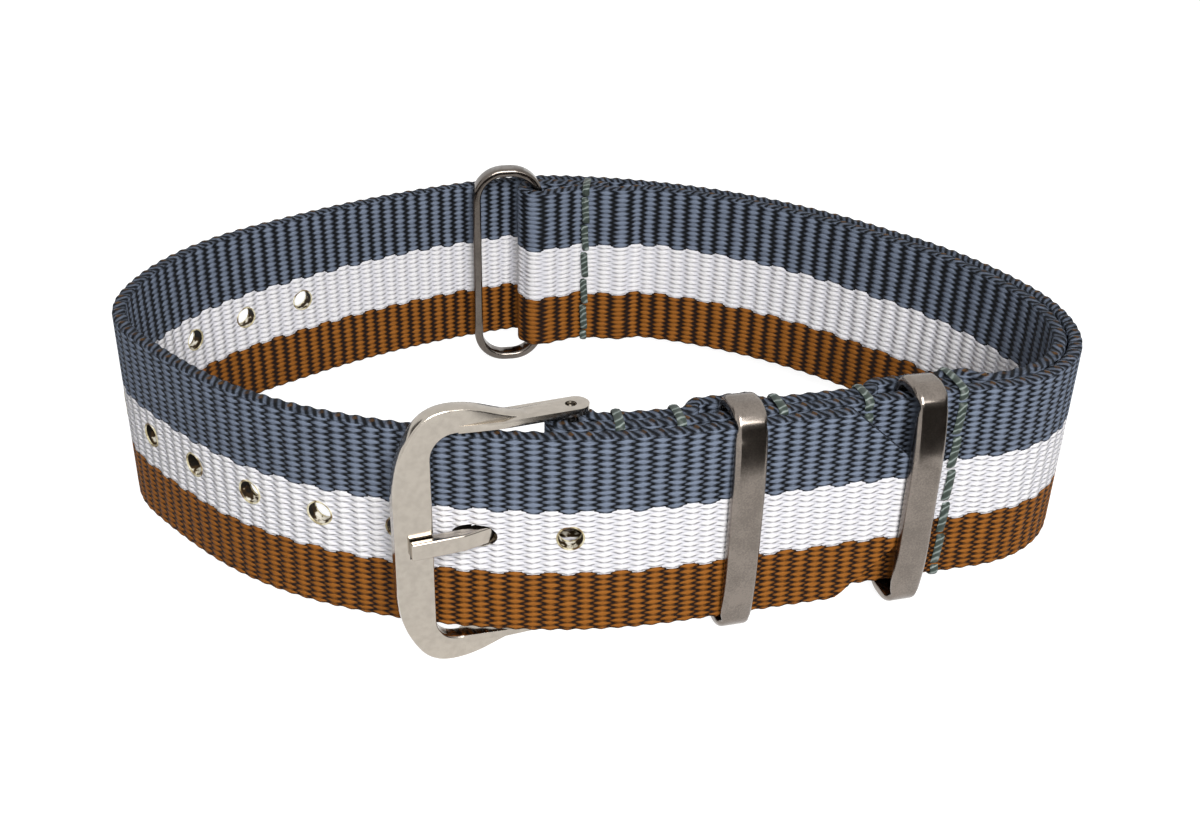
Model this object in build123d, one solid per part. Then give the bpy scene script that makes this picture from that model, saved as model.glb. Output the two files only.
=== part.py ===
"""A pull-through woven watch strap, buckled into a loop and standing on its edge.

Lengths are millimetres and angles are degrees. +Z is up, along the width of the webbing, and the
strap stands on its metal pieces at Z = 0, in the middle of X and Y. The buckle faces -Y, and the
long band runs from the end of its tail clockwise, seen from above: through both keepers and under
the buckle, round the left, along the back, round the right, to the buckle's spring bar and back.
"""

from build123d import *
import os
from math import acos, asin, atan2, ceil, cos, degrees, hypot, pi, radians, sin, sqrt

# webbing
band_width = 18.0
band_thickness = 1.2
layer_gap = 0.1
tail_gap = 0.35
hole_diameter = 2.0
hole_pitch = 6.6
holes_past_the_used_one = 10
holes_before_the_used_one = 1

# the loop round the wrist: turns in degrees, radii as shares of the loop's mean radius
loop_radius = 31.0
front_turn = 16.0
right_bend_shares = [(69.0, 0.374), (31.0, 0.535), (24.0, 1.181)]
back_right_bend_shares = [(11.0, 1.706)]
back_bend_shares = [(29.0, 1.539)]
back_left_bend_shares = [(24.0, 0.594), (18.0, 2.303)]
left_bend_shares = [(11.0, 0.965), (34.0, 0.706), (46.0, 0.352), (7.0, 2.471), (23.0, 1.065), (17.0, 1.716)]
front_bend_shares = [(front_turn, 1.452)]

# spring bar
tube_diameter = 1.5
tube_wall = 0.2
tube_end_gap = 0.3
fold_clearance = 0.05
pivot_diameter = 0.8
pivot_clearance = 0.05
pivot_recess = 0.25
shoulder_clearance = 0.05
shoulder_length = 2.0
tip_travel = 0.9
spring_wire = 0.16
spring_turns = 16

# places along the front stack, from the spring bar towards the right
pin_to_straight = 9.0
fold_seam_place = 3.6
first_pocket_start_seam = 8.3
first_pocket_length = 5.4
first_pocket_end_seam = 16.5
second_pocket_start_seam = 23.7
second_pocket_start = 24.0
second_pocket_length = 7.1
end_seam_place = 31.9
stack_straight = 26.85
tail_length = 28.8
tail_taper = 7.0
tail_nose_share = 0.5
nose_roundness_share = 0.45
seam_margin = 0.8

# keepers
keeper_width = 2.7
keeper_strip = 1.0
keeper_clearance = 0.25
keeper_play = 0.4
keeper_corner = 2.0
keeper_inner_corner = 0.7
pocket_play = 0.15
pocket_corner = 0.95
keeper_edge = 0.2
keeper_crown_edge = 0.5
keeper_bow_drop_share = 0.57
keeper_bow_length_share = 0.52
first_keeper_place = 13.2
second_keeper_place = 28.2

# buckle
frame_reach = 12.65
frame_bar_width = 3.0
frame_thickness = 1.3
frame_side_width = 2.1
frame_gap = 0.3
frame_lift = 1.3
frame_corner = 4.5
frame_bar_straight = 6.0
round_depth_share = 0.28
round_height_share = 0.81
window_corner = 1.9
ear_plate = 0.6
ear_depth = 2.1
ear_length = 3.0
ear_overhang = 0.4
lobe_length = 5.6
lobe_taper = 3.4
frame_edge = 0.2
tang_width = 1.5
tang_thickness = 1.0
tang_eye_share = 0.8
tang_clearance = 0.05
tang_overlap_share = 0.56
tang_seat_depth = 0.5
tang_side_play = 0.2
tang_swing_play = 0.36
used_hole_share = 0.522

# ring keeper at the end of the short band
ring_reach = 6.7
ring_end_gap = 1.3
ring_strip = 0.9
ring_width = 1.8
ring_play = 0.08
ring_rest_gap = 0.3
ring_edge = 0.36
ring_corner = 3.4
ring_inner_corner = 2.5
eye_past_back = 3.2
eye_lead_radius = 1.8
ring_seam_to_back_turn = 2.6
flap_past_seam = 2.4
short_band_swell = 3.0

# sewing thread
thread = 0.22
thread_lift = 0.02
stitches = 5
needle_hole = 0.4
end_stitch_inset = 1.1

overrun = 1.0

# worked out from the sizes above
half_band = band_thickness / 2
ply = band_thickness + layer_gap
tail_offset = band_thickness + tail_gap
tube_radius = tube_diameter / 2
fold_radius = tube_radius + fold_clearance + half_band
front_radius = front_bend_shares[0][1] * loop_radius
frame_height = band_width + 2 * (frame_gap + frame_side_width)
stack_radius = front_radius - tail_offset


def arcs(shares):
    """Left-hand arcs of the loop's centreline, as (turn, radius) steps."""
    return [(turn, share * loop_radius) for turn, share in shares]


def direction(heading):
    return Vector(cos(radians(heading)), sin(radians(heading)))


def left_of(heading):
    return direction(heading + 90)


def step(pose, turn, size, offset=0):
    """The pose after one step: a straight run where turn is 0, otherwise an arc of that radius."""
    place, heading = pose
    if turn == 0:
        return place + direction(heading) * size, heading
    side = 1 if turn > 0 else -1
    centre = place + left_of(heading) * side * (size - side * offset)
    return centre - left_of(heading + turn) * side * (size - side * offset), heading + turn


def walk(pose, steps):
    for turn, size in steps:
        pose = step(pose, turn, size)
    return pose


def side_edges(pose, steps, offset):
    """The edges of a line that stays a fixed distance to the left of the centreline."""
    pose = (pose[0] + left_of(pose[1]) * offset, pose[1])
    edges = []
    for turn, size in steps:
        after = step(pose, turn, size, offset)
        if turn == 0:
            edges.append(Line(pose[0], after[0]))
        else:
            middle = step(pose, turn / 2, size, offset)
            edges.append(ThreePointArc(pose[0], middle[0], after[0]))
        pose = after
    return edges, pose[0]


def ribbon(pose, steps, thickness, width):
    """A strip of even thickness that follows the steps, standing on its edge."""
    left, left_end = side_edges(pose, steps, thickness / 2)
    right, right_end = side_edges(pose, steps, -thickness / 2)
    start_left = pose[0] + left_of(pose[1]) * thickness / 2
    start_right = pose[0] - left_of(pose[1]) * thickness / 2
    outline = left + [Line(left_end, right_end)] + right + [Line(start_right, start_left)]
    face = Face(Wire([edge for curve in outline for edge in curve.edges()]))
    return extrude(face, amount=width / 2, both=True)


def backwards(steps):
    return [(-turn, size) for turn, size in reversed(steps)]


def shifted(steps, distance):
    """The same steps on a line that lies that far to the left, for left-hand arcs."""
    return [(turn, size if turn == 0 else size - distance) for turn, size in steps]


def side_step(start_radius, end_radius, bend):
    """Two arcs that take a left-hand arc about a centre from one radius to another, and the angle used."""
    outward = end_radius > start_radius
    first = start_radius + (bend if outward else -bend)
    second = end_radius - (bend if outward else -bend)
    reach = 2 * bend
    angle = degrees(acos((first**2 + second**2 - reach**2) / (2 * first * second)))
    corner, other = (first, second) if outward else (second, first)
    lean = degrees(acos((corner**2 + reach**2 - other**2) / (2 * corner * reach)))
    turns = (-lean, angle + lean) if outward else (angle + lean, -lean)
    return [(turns[0], bend), (turns[1], bend)], angle


def straight_side_step(distance, bend):
    """Two arcs that move a straight run to the left by a distance, or to the right where it is negative."""
    turn = degrees(acos(1 - abs(distance) / (2 * bend)))
    side = 1 if distance > 0 else -1
    return [(side * turn, bend), (-side * turn, bend)], 2 * bend * sin(radians(turn))


# the loop: two straight runs at the back are as long as it takes to close it
right_steps = arcs(right_bend_shares)
back_right_steps = arcs(back_right_bend_shares)
back_steps = arcs(back_bend_shares)
back_left_steps = arcs(back_left_bend_shares)
left_steps = arcs(left_bend_shares) + arcs(front_bend_shares)


def closing_runs():
    pose = (Vector(0, 0), front_turn)
    pose = walk(pose, right_steps)
    first_heading = pose[1]
    pose = walk(pose, back_right_steps + back_steps + back_left_steps)
    second_heading = pose[1]
    pose = walk(pose, left_steps)
    wanted = -direction(front_turn) * stack_straight - left_of(front_turn) * tail_offset
    rest = wanted - pose[0]
    first, second = direction(first_heading), direction(second_heading)
    scale = first.X * second.Y - first.Y * second.X
    along_first = (rest.X * second.Y - rest.Y * second.X) / scale
    along_second = (first.X * rest.Y - first.Y * rest.X) / scale
    return (0, along_first), (0, along_second)


right_run, left_run = closing_runs()
loop_steps = right_steps + [right_run] + back_right_steps + back_steps + back_left_steps + [left_run] + left_steps


stack_end = (Vector(0, 0), front_turn)
stack_start = (stack_end[0] - direction(front_turn) * stack_straight, front_turn)
front_centre = stack_start[0] + left_of(front_turn) * stack_radius
pin_angle = degrees(pin_to_straight / stack_radius)
pin_heading = front_turn - pin_angle
pin_outward = -left_of(pin_heading)
pin_radius = stack_radius - fold_radius
pin = front_centre + pin_outward * pin_radius


def on_stack(place, offset=0):
    """A point of the front stack's outer ply, that far right of the spring bar, and to its left by offset."""
    along = place - pin_to_straight
    return stack_start[0] + direction(front_turn) * along + left_of(front_turn) * offset


# the second ply of the front stack, from the fold on
def second_ply_steps():
    inner_radius = stack_radius - ply
    bend = fold_radius
    first, second = pin_radius, inner_radius - bend
    reach = fold_radius + bend
    angle = degrees(acos((first**2 + second**2 - reach**2) / (2 * first * second)))
    lean = degrees(acos((first**2 + reach**2 - second**2) / (2 * first * reach)))
    rise = keeper_strip + 2 * pocket_play - layer_gap
    bulge, bulge_run = straight_side_step(rise, pocket_corner)
    hollow, _ = straight_side_step(-rise, pocket_corner)
    first_flat = first_pocket_end_seam - seam_margin / 2 - pin_to_straight - 2 * bulge_run
    second_flat = second_pocket_length - 2 * bulge_run
    between = second_pocket_start - pin_to_straight - first_flat - 2 * bulge_run
    tail_run = end_seam_place + seam_margin - second_pocket_start - second_pocket_length
    steps = [(-180 - lean, fold_radius), (angle + lean, bend), (pin_angle - angle, inner_radius)]
    steps += bulge + [(0, first_flat)] + hollow + [(0, between)]
    steps += bulge + [(0, second_flat)] + hollow + [(0, tail_run)]
    return steps


def tail_cutters():
    """Wedges that cut the end of the tail to a point with a rounded nose."""
    run = tail_length
    half = band_width / 2
    nose = half * tail_nose_share
    frame = Plane(
        origin=(*tuple(on_stack(run, -tail_offset))[:2], 0),
        x_dir=tuple(direction(front_turn)),
        z_dir=tuple(-left_of(front_turn)),
    )
    cutters = []
    for side in (1, -1):
        outline = [
            Line((-tail_taper, side * half), (-nose * nose_roundness_share, side * nose)),
            ThreePointArc(
                (-nose * nose_roundness_share, side * nose),
                (-nose * nose_roundness_share / 4, side * nose / 2),
                (0, 0),
            ),
            Line((0, 0), (overrun, 0)),
            Line((overrun, 0), (overrun, side * (half + overrun))),
            Line((overrun, side * (half + overrun)), (-tail_taper, side * (half + overrun))),
            Line((-tail_taper, side * (half + overrun)), (-tail_taper, side * half)),
        ]
        face = Face(Wire([edge for curve in outline for edge in curve.edges()]))
        cutters.append(extrude(frame * face, amount=band_thickness, both=True))
    return cutters


def along_tail(distance):
    """The pose on the long band's centreline, that far left of the point outside the spring bar."""
    used = front_radius * radians(front_turn - pin_angle)
    pose = (front_centre + pin_outward * front_radius, pin_heading + 180)
    steps = [(-(front_turn - pin_angle), front_radius)] + backwards(loop_steps)[1:]
    if distance < 0:
        return step(pose, degrees(-distance / front_radius), front_radius, 2 * front_radius)
    for turn, size in steps:
        length = size if turn == 0 else abs(radians(turn)) * size
        if distance <= length:
            share = distance / length
            return step(pose, turn * share, size if turn else size * share)
        pose = step(pose, turn, size)
        distance -= length
    return pose


def across(pose, radius, height, length):
    """A round cutter that goes through the webbing at a pose of its centreline."""
    frame = Plane(
        origin=(pose[0].X, pose[0].Y, height),
        x_dir=tuple(direction(pose[1])),
        z_dir=tuple(left_of(pose[1])),
    )
    return frame * Cylinder(radius, length)


def stitch_heights():
    first = end_stitch_inset - band_width / 2
    pitch = (band_width - 2 * end_stitch_inset) / stitches
    return [first + pitch * count for count in range(stitches + 1)]


def two_ply_pose(place):
    """A seam of the front stack, on the middle line of its two plies."""
    if place >= pin_to_straight:
        return on_stack(place, ply / 2), front_turn
    heading = front_turn - degrees((pin_to_straight - place) / stack_radius)
    return front_centre - left_of(heading) * (stack_radius - ply / 2), heading


def frame_heading():
    """The buckle's bar stands clear of the tail, so the spring bar's arm to it leans out by this much."""
    bar_radius = front_radius + half_band + frame_lift + frame_thickness / 2
    lean = degrees(acos((pin_radius**2 + frame_reach**2 - bar_radius**2) / (2 * pin_radius * frame_reach)))
    return pin_heading + 90 + lean


bar_heading = frame_heading()


def frame_plane():
    """Spring bar at the origin, X towards the buckle's bar, Y outwards, Z up."""
    return Plane(origin=(pin.X, pin.Y, 0), x_dir=tuple(direction(bar_heading)), z_dir=(0, 0, 1))


def in_frame(place):
    rest = place - pin
    outward = direction(bar_heading + 90)
    along = direction(bar_heading)
    return rest.X * along.X + rest.Y * along.Y, rest.X * outward.X + rest.Y * outward.Y


used_hole_place = frame_reach * used_hole_share
used_hole = along_tail(used_hole_place)


def tang_line():
    """The tang's straight run: it leaves its eye on the inner side and passes through the hole in use."""
    along, outward = in_frame(used_hole[0])
    eye = tube_radius + tang_clearance + tang_thickness * tang_eye_share / 2
    distance = hypot(along, outward)
    slope = degrees(atan2(outward, along) + asin(eye / distance))
    top = frame_thickness / 2 - tang_seat_depth + tang_clearance + tang_thickness / 2
    eye_end = (eye * sin(radians(slope)), -eye * cos(radians(slope)))
    run = (top - eye_end[1]) / sin(radians(slope))
    bend = (eye_end[0] + run * cos(radians(slope)), top)
    return eye, slope, eye_end, run, bend


# the short band: sewn in at the end seam, and folded round the ring keeper's bar at the back
main_at_back_end = walk(stack_end, right_steps + [right_run] + back_right_steps + back_steps)
back_radius = back_steps[0][1]
kink_radius = back_left_steps[0][1]
ring_bar_diagonal = hypot(ring_strip, ring_width)
ring_height = band_width + 2 * (ring_end_gap + ring_strip)
eye_radius = ring_bar_diagonal / 2 + ring_play + half_band
kink_centre = main_at_back_end[0] + left_of(main_at_back_end[1]) * kink_radius
eye_angle = degrees(eye_past_back / kink_radius)
eye_heading = main_at_back_end[1] + eye_angle
eye_out = -left_of(eye_heading)
eye_distance = kink_radius - ply - eye_radius
eye = kink_centre + eye_out * eye_distance
short_start_place = end_seam_place - seam_margin


def short_band_steps():
    """From beside the end seam, round the right, to the flap's cut end behind the ring's seam."""
    shift, shift_run = straight_side_step(-ply, band_thickness * 4 / 3)
    lead = end_seam_place + 1.25 * seam_margin - short_start_place
    rest = pin_to_straight + stack_straight - short_start_place - lead - shift_run
    steps = [(0, lead)] + shift + [(0, rest)]
    steps += shifted(right_steps, ply) + [right_run] + shifted(back_right_steps, ply)
    swell, swell_angle = side_step(back_radius - ply, back_radius - 2 * ply, short_band_swell)
    inner = back_radius - 2 * ply
    seam_angle = degrees(ring_seam_to_back_turn / back_radius)
    flat_angle = degrees((flap_past_seam + seam_margin) / back_radius)
    lead_angle = degrees(thread / back_radius)
    plain = back_steps[0][0] - seam_angle - flat_angle - swell_angle
    steps += [(plain, back_radius - ply)] + swell + [(flat_angle + lead_angle, inner)]
    steps += round_the_eye(walk(short_band_start(), steps))
    steps += [(-eye_angle, kink_radius - ply)]
    steps += [(-seam_angle - degrees(flap_past_seam / back_radius), back_radius - ply)]
    return steps


def short_band_start():
    return on_stack(short_start_place, 2 * ply), front_turn


def round_the_eye(pose):
    """A left-hand arc, a straight run, and the fold round the ring keeper's bar."""
    place, heading = pose
    centre = place + left_of(heading) * eye_lead_radius
    gap = eye - centre
    distance = hypot(gap.X, gap.Y)
    run = sqrt(distance**2 - (eye_lead_radius + eye_radius) ** 2)
    lean = degrees(atan2(gap.Y, gap.X) + asin((eye_lead_radius + eye_radius) / distance))
    lean = heading + (lean - heading + 180) % 360 - 180
    turn = (lean - (eye_heading - 180)) % 360
    return [(lean - heading, eye_lead_radius), (0, run), (-turn, eye_radius)]


def ring_heading():
    """Where the ring's free bar points when it lies against the long band."""
    free_distance = kink_radius - half_band - ring_rest_gap - ring_width / 2
    lean = (eye_distance**2 + ring_reach**2 - free_distance**2) / (2 * eye_distance * ring_reach)
    return eye_heading - 90 + 180 - degrees(acos(lean))


def ring_seam_pose():
    angle = degrees(ring_seam_to_back_turn / back_radius)
    heading = main_at_back_end[1] - angle
    centre = main_at_back_end[0] + left_of(main_at_back_end[1]) * back_radius
    return centre - left_of(heading) * (back_radius - 1.5 * ply), heading


# each seam: its pose on the plies' middle line, and the depths from there at which its threads lie
on_two_plies = band_thickness + layer_gap / 2 + thread_lift
on_three_plies = band_thickness * 3 / 2 + layer_gap + thread_lift
sunk_in_two_plies = on_two_plies - thread - 2 * thread_lift
seams = {
    "buckle_fold_seam": (two_ply_pose(fold_seam_place), on_two_plies, on_two_plies),
    "first_pocket_inner_seam": (two_ply_pose(first_pocket_start_seam), on_two_plies, on_two_plies),
    "first_pocket_outer_seam": (two_ply_pose(first_pocket_end_seam), on_two_plies, on_two_plies),
    "second_pocket_seam": (two_ply_pose(second_pocket_start_seam), on_two_plies, on_two_plies),
    "band_joining_seam": ((on_stack(end_seam_place, ply), front_turn), on_three_plies, on_three_plies),
    "ring_fold_seam": (ring_seam_pose(), sunk_in_two_plies, on_two_plies),
}


def needle_holes(names):
    cutters = []
    for name in names:
        pose, outer, inner = seams[name]
        for height in stitch_heights():
            cutters.append(across(pose, needle_hole / 2, height, outer + inner + 2 * thread))
    return cutters


def ring_seam_groove():
    """The needle thread of the ring's seam is pulled into the flap, clear of the long band."""
    pose, outer, _ = seams["ring_fold_seam"]
    height = band_width - 2 * end_stitch_inset + thread + 4 * thread_lift
    groove = Box(needle_hole, 2 * thread, height)
    plane = Plane(origin=(pose[0].X, pose[0].Y, 0), x_dir=tuple(direction(pose[1])), z_dir=(0, 0, 1))
    return plane * Pos(0, -outer + thread_lift - thread) * groove


def main_band():
    """The long band, one piece from the tail to the seam that joins the short band."""
    tail_start = (on_stack(tail_length, -tail_offset), front_turn + 180)
    tail_run = tail_length - pin_to_straight
    steps = [(0, tail_run)] + backwards(loop_steps) + [(0, stack_straight), (-pin_angle, stack_radius)]
    steps += second_ply_steps()
    band = ribbon(tail_start, steps, band_thickness, band_width)
    cutters = tail_cutters()
    for count in range(-holes_before_the_used_one, holes_past_the_used_one + 1):
        if count == 0:
            continue
        pose = along_tail(used_hole_place + count * hole_pitch)
        cutters.append(across(pose, hole_diameter / 2, 0, band_thickness + tail_gap))
    cutters.append(used_hole_cutter())
    cutters.append(tang_slot())
    cutters += needle_holes([name for name in seams if name != "ring_fold_seam"])
    return band.cut(*cutters)


def used_hole_cutter():
    """The hole in use is drawn along the tang that passes through it, with room for the tang to swing."""
    _, slope, _, _, _ = tang_line()
    along, outward = in_frame(used_hole[0])
    cutter = Box(5 * band_thickness, tang_thickness + 2 * tang_swing_play, tang_width + 2 * tang_side_play)
    cutter = fillet(cutter.edges().filter_by(Axis.X), tang_side_play)
    return frame_plane() * Pos(along, outward) * Rot(0, 0, slope) * cutter


def tang_slot():
    """The slot through the fold and both its plies, for the tang's eye."""
    eye, _, _, _, _ = tang_line()
    left = fold_radius + half_band + tang_side_play
    right = eye + tang_thickness * tang_eye_share / 2 + tang_side_play
    depth = 2 * (fold_radius + half_band) + tail_gap
    plane = Plane(origin=(pin.X, pin.Y, 0), x_dir=tuple(direction(pin_heading)), z_dir=(0, 0, 1))
    return plane * Pos((right - left) / 2) * Box(left + right, depth, tang_width + 2 * tang_side_play)


def short_band():
    """The short band that carries the ring keeper."""
    band = ribbon(short_band_start(), short_band_steps(), band_thickness, band_width)
    return band.cut(*needle_holes(["band_joining_seam", "ring_fold_seam"]), ring_seam_groove())


def frame_side():
    """One side of the buckle's outline and of its window, from the spring bar's end to its bar."""
    half = frame_height / 2
    window = band_width / 2 + frame_gap
    ear = window + ear_plate
    front = frame_reach + frame_bar_width / 2
    inside = frame_reach - frame_bar_width / 2
    crest = front - frame_corner
    diagonal = window_corner / sqrt(2)
    middle = (front - frame_corner * round_depth_share, half * round_height_share)
    window_middle = (inside - window_corner + diagonal, window - window_corner + diagonal)
    outer = [
        Line((0, ear), (ear_length, ear)),
        Spline((ear_length, ear), (crest, half), tangents=((1, 0), (1, 0))),
        Spline((crest, half), middle, (front, frame_bar_straight / 2), tangents=((1, 0), (0, -1))),
    ]
    inner = [
        ThreePointArc((inside, window - window_corner), window_middle, (inside - window_corner, window)),
        Line((inside - window_corner, window), (0, window)),
        Line((0, window), (0, ear)),
    ]
    return outer + inner


def frame_plate():
    """The flat part of the buckle, with its long edges rounded."""
    side = frame_side()
    side += [mirror(edge, Plane.XZ) for edge in side]
    front = frame_reach + frame_bar_width / 2
    inside = frame_reach - frame_bar_width / 2
    outer_half = frame_bar_straight / 2
    inner_half = band_width / 2 + frame_gap - window_corner
    bar = [Line((front, -outer_half), (front, outer_half)), Line((inside, -inner_half), (inside, inner_half))]
    face = Face(Wire([edge for curve in side + bar for edge in curve.edges()]))
    plate = extrude(Plane.XZ * face, amount=frame_thickness / 2, both=True)
    rims = [edge for edge in plate.edges() if edge.center().X > frame_edge]
    rims = [edge for edge in rims if abs(edge.center().Y) > frame_edge]
    return fillet(rims, frame_edge)


def ear_lobe():
    """The upper ear: a thin plate, deeper than the frame is thick, that holds the spring bar's end."""
    half = ear_depth / 2
    back = -ear_overhang
    end = lobe_length + lobe_taper
    outline = [
        ThreePointArc((back, half), (back - half, 0), (back, -half)),
        Line((back, -half), (lobe_length, -half)),
        Line((lobe_length, -half), (end, -frame_thickness / 2)),
        Line((end, -frame_thickness / 2), (end, frame_thickness / 2)),
        Line((end, frame_thickness / 2), (lobe_length, half)),
        Line((lobe_length, half), (back, half)),
    ]
    face = Face(Wire([edge for curve in outline for edge in curve.edges()]))
    return extrude(Pos(0, 0, band_width / 2 + frame_gap) * face, amount=ear_plate, dir=(0, 0, 1))


def buckle_frame():
    lobe = ear_lobe()
    whole = frame_plate() + lobe + mirror(lobe, Plane.XY)
    bore = Cylinder(pivot_diameter / 2 + pivot_clearance, 2 * frame_height)
    return frame_plane() * (whole - bore - tang_seat())


def tang_tip_place():
    return frame_reach + frame_bar_width * (tang_overlap_share - 1 / 2)


def tang_seat():
    """The groove across the outer face of the buckle's bar that the tang's tip lies in."""
    left = frame_reach - frame_bar_width / 2 - overrun
    right = tang_tip_place() + tang_side_play
    groove = Box(right - left, 2 * tang_seat_depth, tang_width + 2 * tang_side_play)
    return Pos((left + right) / 2, frame_thickness / 2) * groove


def buckle_tang():
    """Bent from one flat strip: an eye round the spring bar, a run through the band, a rest on the bar."""
    eye, slope, eye_end, run, bend = tang_line()
    wall = tang_thickness * tang_eye_share
    tip = tang_tip_place()
    ring = extrude(Circle(eye + wall / 2) - Circle(tube_radius + tang_clearance), amount=tang_width / 2, both=True)
    start = (Vector(*eye_end), slope)
    inset = (tang_thickness - wall) / 2
    run_pose = (start[0] + left_of(slope) * inset, slope)
    steps = [(0, run), (-slope, tang_thickness), (0, tip - bend[0])]
    arm = ribbon(run_pose, steps, tang_thickness, tang_width)
    arm = arm - Cylinder(tube_radius + tang_clearance, 2 * tang_width)
    tang = arm + ring
    return frame_plane() * tang


def bent_strip_ring(reach, height, strip, width, corner, inner_corner, edge):
    """A closed loop of flat strip: X across its opening, Z up, strip width along Y."""
    outer = extrude(Plane.XZ * RectangleRounded(reach, height, corner), amount=width / 2, both=True)
    inner_size = (reach - 2 * strip, height - 2 * strip)
    inner = extrude(Plane.XZ * RectangleRounded(*inner_size, inner_corner), amount=width, both=True)
    ring = outer - inner
    rims = [rim for rim in ring.edges() if abs(abs(rim.center().Y) - width / 2) < edge / 2]
    return fillet(rims, edge)


def keeper_outline(depth, height):
    """The outside of a keeper, seen along the band: both ends of its front bar bow back before they turn."""
    front, rear, top = -depth / 2, depth / 2, height / 2
    drop, length = keeper_bow_drop_share * keeper_strip, keeper_bow_length_share * top
    bow = 2 * atan2(drop, length)
    radius = length / sin(bow)
    low = top - keeper_corner * (1 - sin(bow)) - length
    centre = front + radius
    bow_end = (front + drop, low + length)
    bow_middle = (centre - radius * cos(bow / 2), low + radius * sin(bow / 2))
    turn_x, turn_y = bow_end[0] + keeper_corner * cos(bow), bow_end[1] - keeper_corner * sin(bow)
    half_turn = (pi / 2 + bow) / 2
    turn_middle = (turn_x - keeper_corner * cos(half_turn), turn_y + keeper_corner * sin(half_turn))
    diagonal = keeper_corner / sqrt(2)
    rear_middle = (rear - keeper_corner + diagonal, top - keeper_corner + diagonal)
    upper = [
        Line((front, 0), (front, low)),
        ThreePointArc((front, low), bow_middle, bow_end),
        ThreePointArc(bow_end, turn_middle, (turn_x, top)),
        Line((turn_x, top), (rear - keeper_corner, top)),
        ThreePointArc((rear - keeper_corner, top), rear_middle, (rear, top - keeper_corner)),
        Line((rear, top - keeper_corner), (rear, 0)),
    ]
    upper += [mirror(edge, Plane.XZ) for edge in upper]
    return Face(Wire([edge for curve in upper for edge in curve.edges()]))


def keeper(place):
    """A keeper round the front stack, with its rear bar between the plies of its pocket."""
    rear = half_band + pocket_play
    front = tail_offset + half_band + keeper_clearance
    depth = rear + front + 2 * keeper_strip
    height = band_width + 2 * keeper_play + 2 * keeper_strip
    middle = on_stack(place, (rear - front) / 2)
    outside = extrude(Plane.XZ * keeper_outline(depth, height), amount=keeper_width / 2, both=True)
    crowned = [rim for rim in outside.edges() if abs(abs(rim.center().Y) - keeper_width / 2) < keeper_edge]
    outside = fillet(crowned, keeper_crown_edge)
    inside_size = (depth - 2 * keeper_strip, height - 2 * keeper_strip)
    inside = extrude(Plane.XZ * RectangleRounded(*inside_size, keeper_inner_corner), amount=keeper_width, both=True)
    ring = outside - inside
    middle_height = height / 2 - keeper_strip / 2
    rims = [rim for rim in ring.edges() if abs(abs(rim.center().Y) - keeper_width / 2) < keeper_edge / 2]
    rims = [rim for rim in rims if abs(rim.center().Z) < middle_height and abs(rim.center().X) < depth / 2 - keeper_strip / 2]
    ring = fillet(rims, keeper_edge)
    plane = Plane(
        origin=(middle.X, middle.Y, 0),
        x_dir=tuple(left_of(front_turn)),
        z_dir=(0, 0, 1),
    )
    return plane * ring


def ring_keeper():
    """The third keeper: it hangs in the short band's fold and lies against the long band."""
    reach = ring_reach + ring_strip
    corners = (ring_corner, ring_inner_corner)
    ring = bent_strip_ring(reach, ring_height, ring_strip, ring_width, *corners, ring_edge)
    plane = Plane(
        origin=(eye.X, eye.Y, 0),
        x_dir=tuple(direction(ring_heading())),
        z_dir=(0, 0, 1),
    )
    return plane * Pos(ring_reach / 2) * ring


tube_half = band_width / 2 + frame_gap - tube_end_gap
shoulder_radius = tube_radius - tube_wall - shoulder_clearance
pivot_out = frame_gap + ear_plate - pivot_recess
tube_lip = 2 * tube_wall


def spring_bar_tube():
    """The hollow body of the spring bar, with a lip at each end that keeps the tips in."""
    body = Cylinder(tube_radius, 2 * tube_half)
    room = Cylinder(tube_radius - tube_wall, 2 * (tube_half - tube_lip))
    bore = Cylinder(pivot_diameter / 2 + pivot_clearance, 2 * tube_half + overrun)
    return Pos(pin.X, pin.Y) * (body - room - bore)


def spring_bar_tip(side):
    """A tip: its shoulder is inside the tube and its pivot is in the buckle's ear."""
    pivot_top = band_width / 2 + pivot_out
    shoulder_top = tube_half - tube_lip - shoulder_clearance
    base = shoulder_top - shoulder_length
    pivot = Pos(0, 0, (pivot_top + base) / 2) * Cylinder(pivot_diameter / 2, pivot_top - base)
    shoulder = Pos(0, 0, (shoulder_top + base) / 2) * Cylinder(shoulder_radius, shoulder_length)
    tip = pivot + shoulder
    tip = chamfer(tip.edges().group_by(Axis.Z)[-1], pivot_diameter / 8)
    if side < 0:
        tip = mirror(tip, Plane.XY)
    return Pos(pin.X, pin.Y) * tip


def spring_bar_spring():
    """The coil that pushes the two tips apart."""
    shoulder_base = tube_half - tube_lip - shoulder_clearance - shoulder_length
    room = 2 * (shoulder_base - layer_gap / 2) - spring_wire
    mean = shoulder_radius - spring_wire / 2
    coil = Helix(pitch=room / spring_turns, height=room, radius=mean)
    section = Plane(origin=coil @ 0, z_dir=coil % 0) * Circle(spring_wire / 2)
    spring = sweep(section, path=coil, is_frenet=True)
    return Pos(pin.X, pin.Y, -room / 2) * spring


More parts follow.
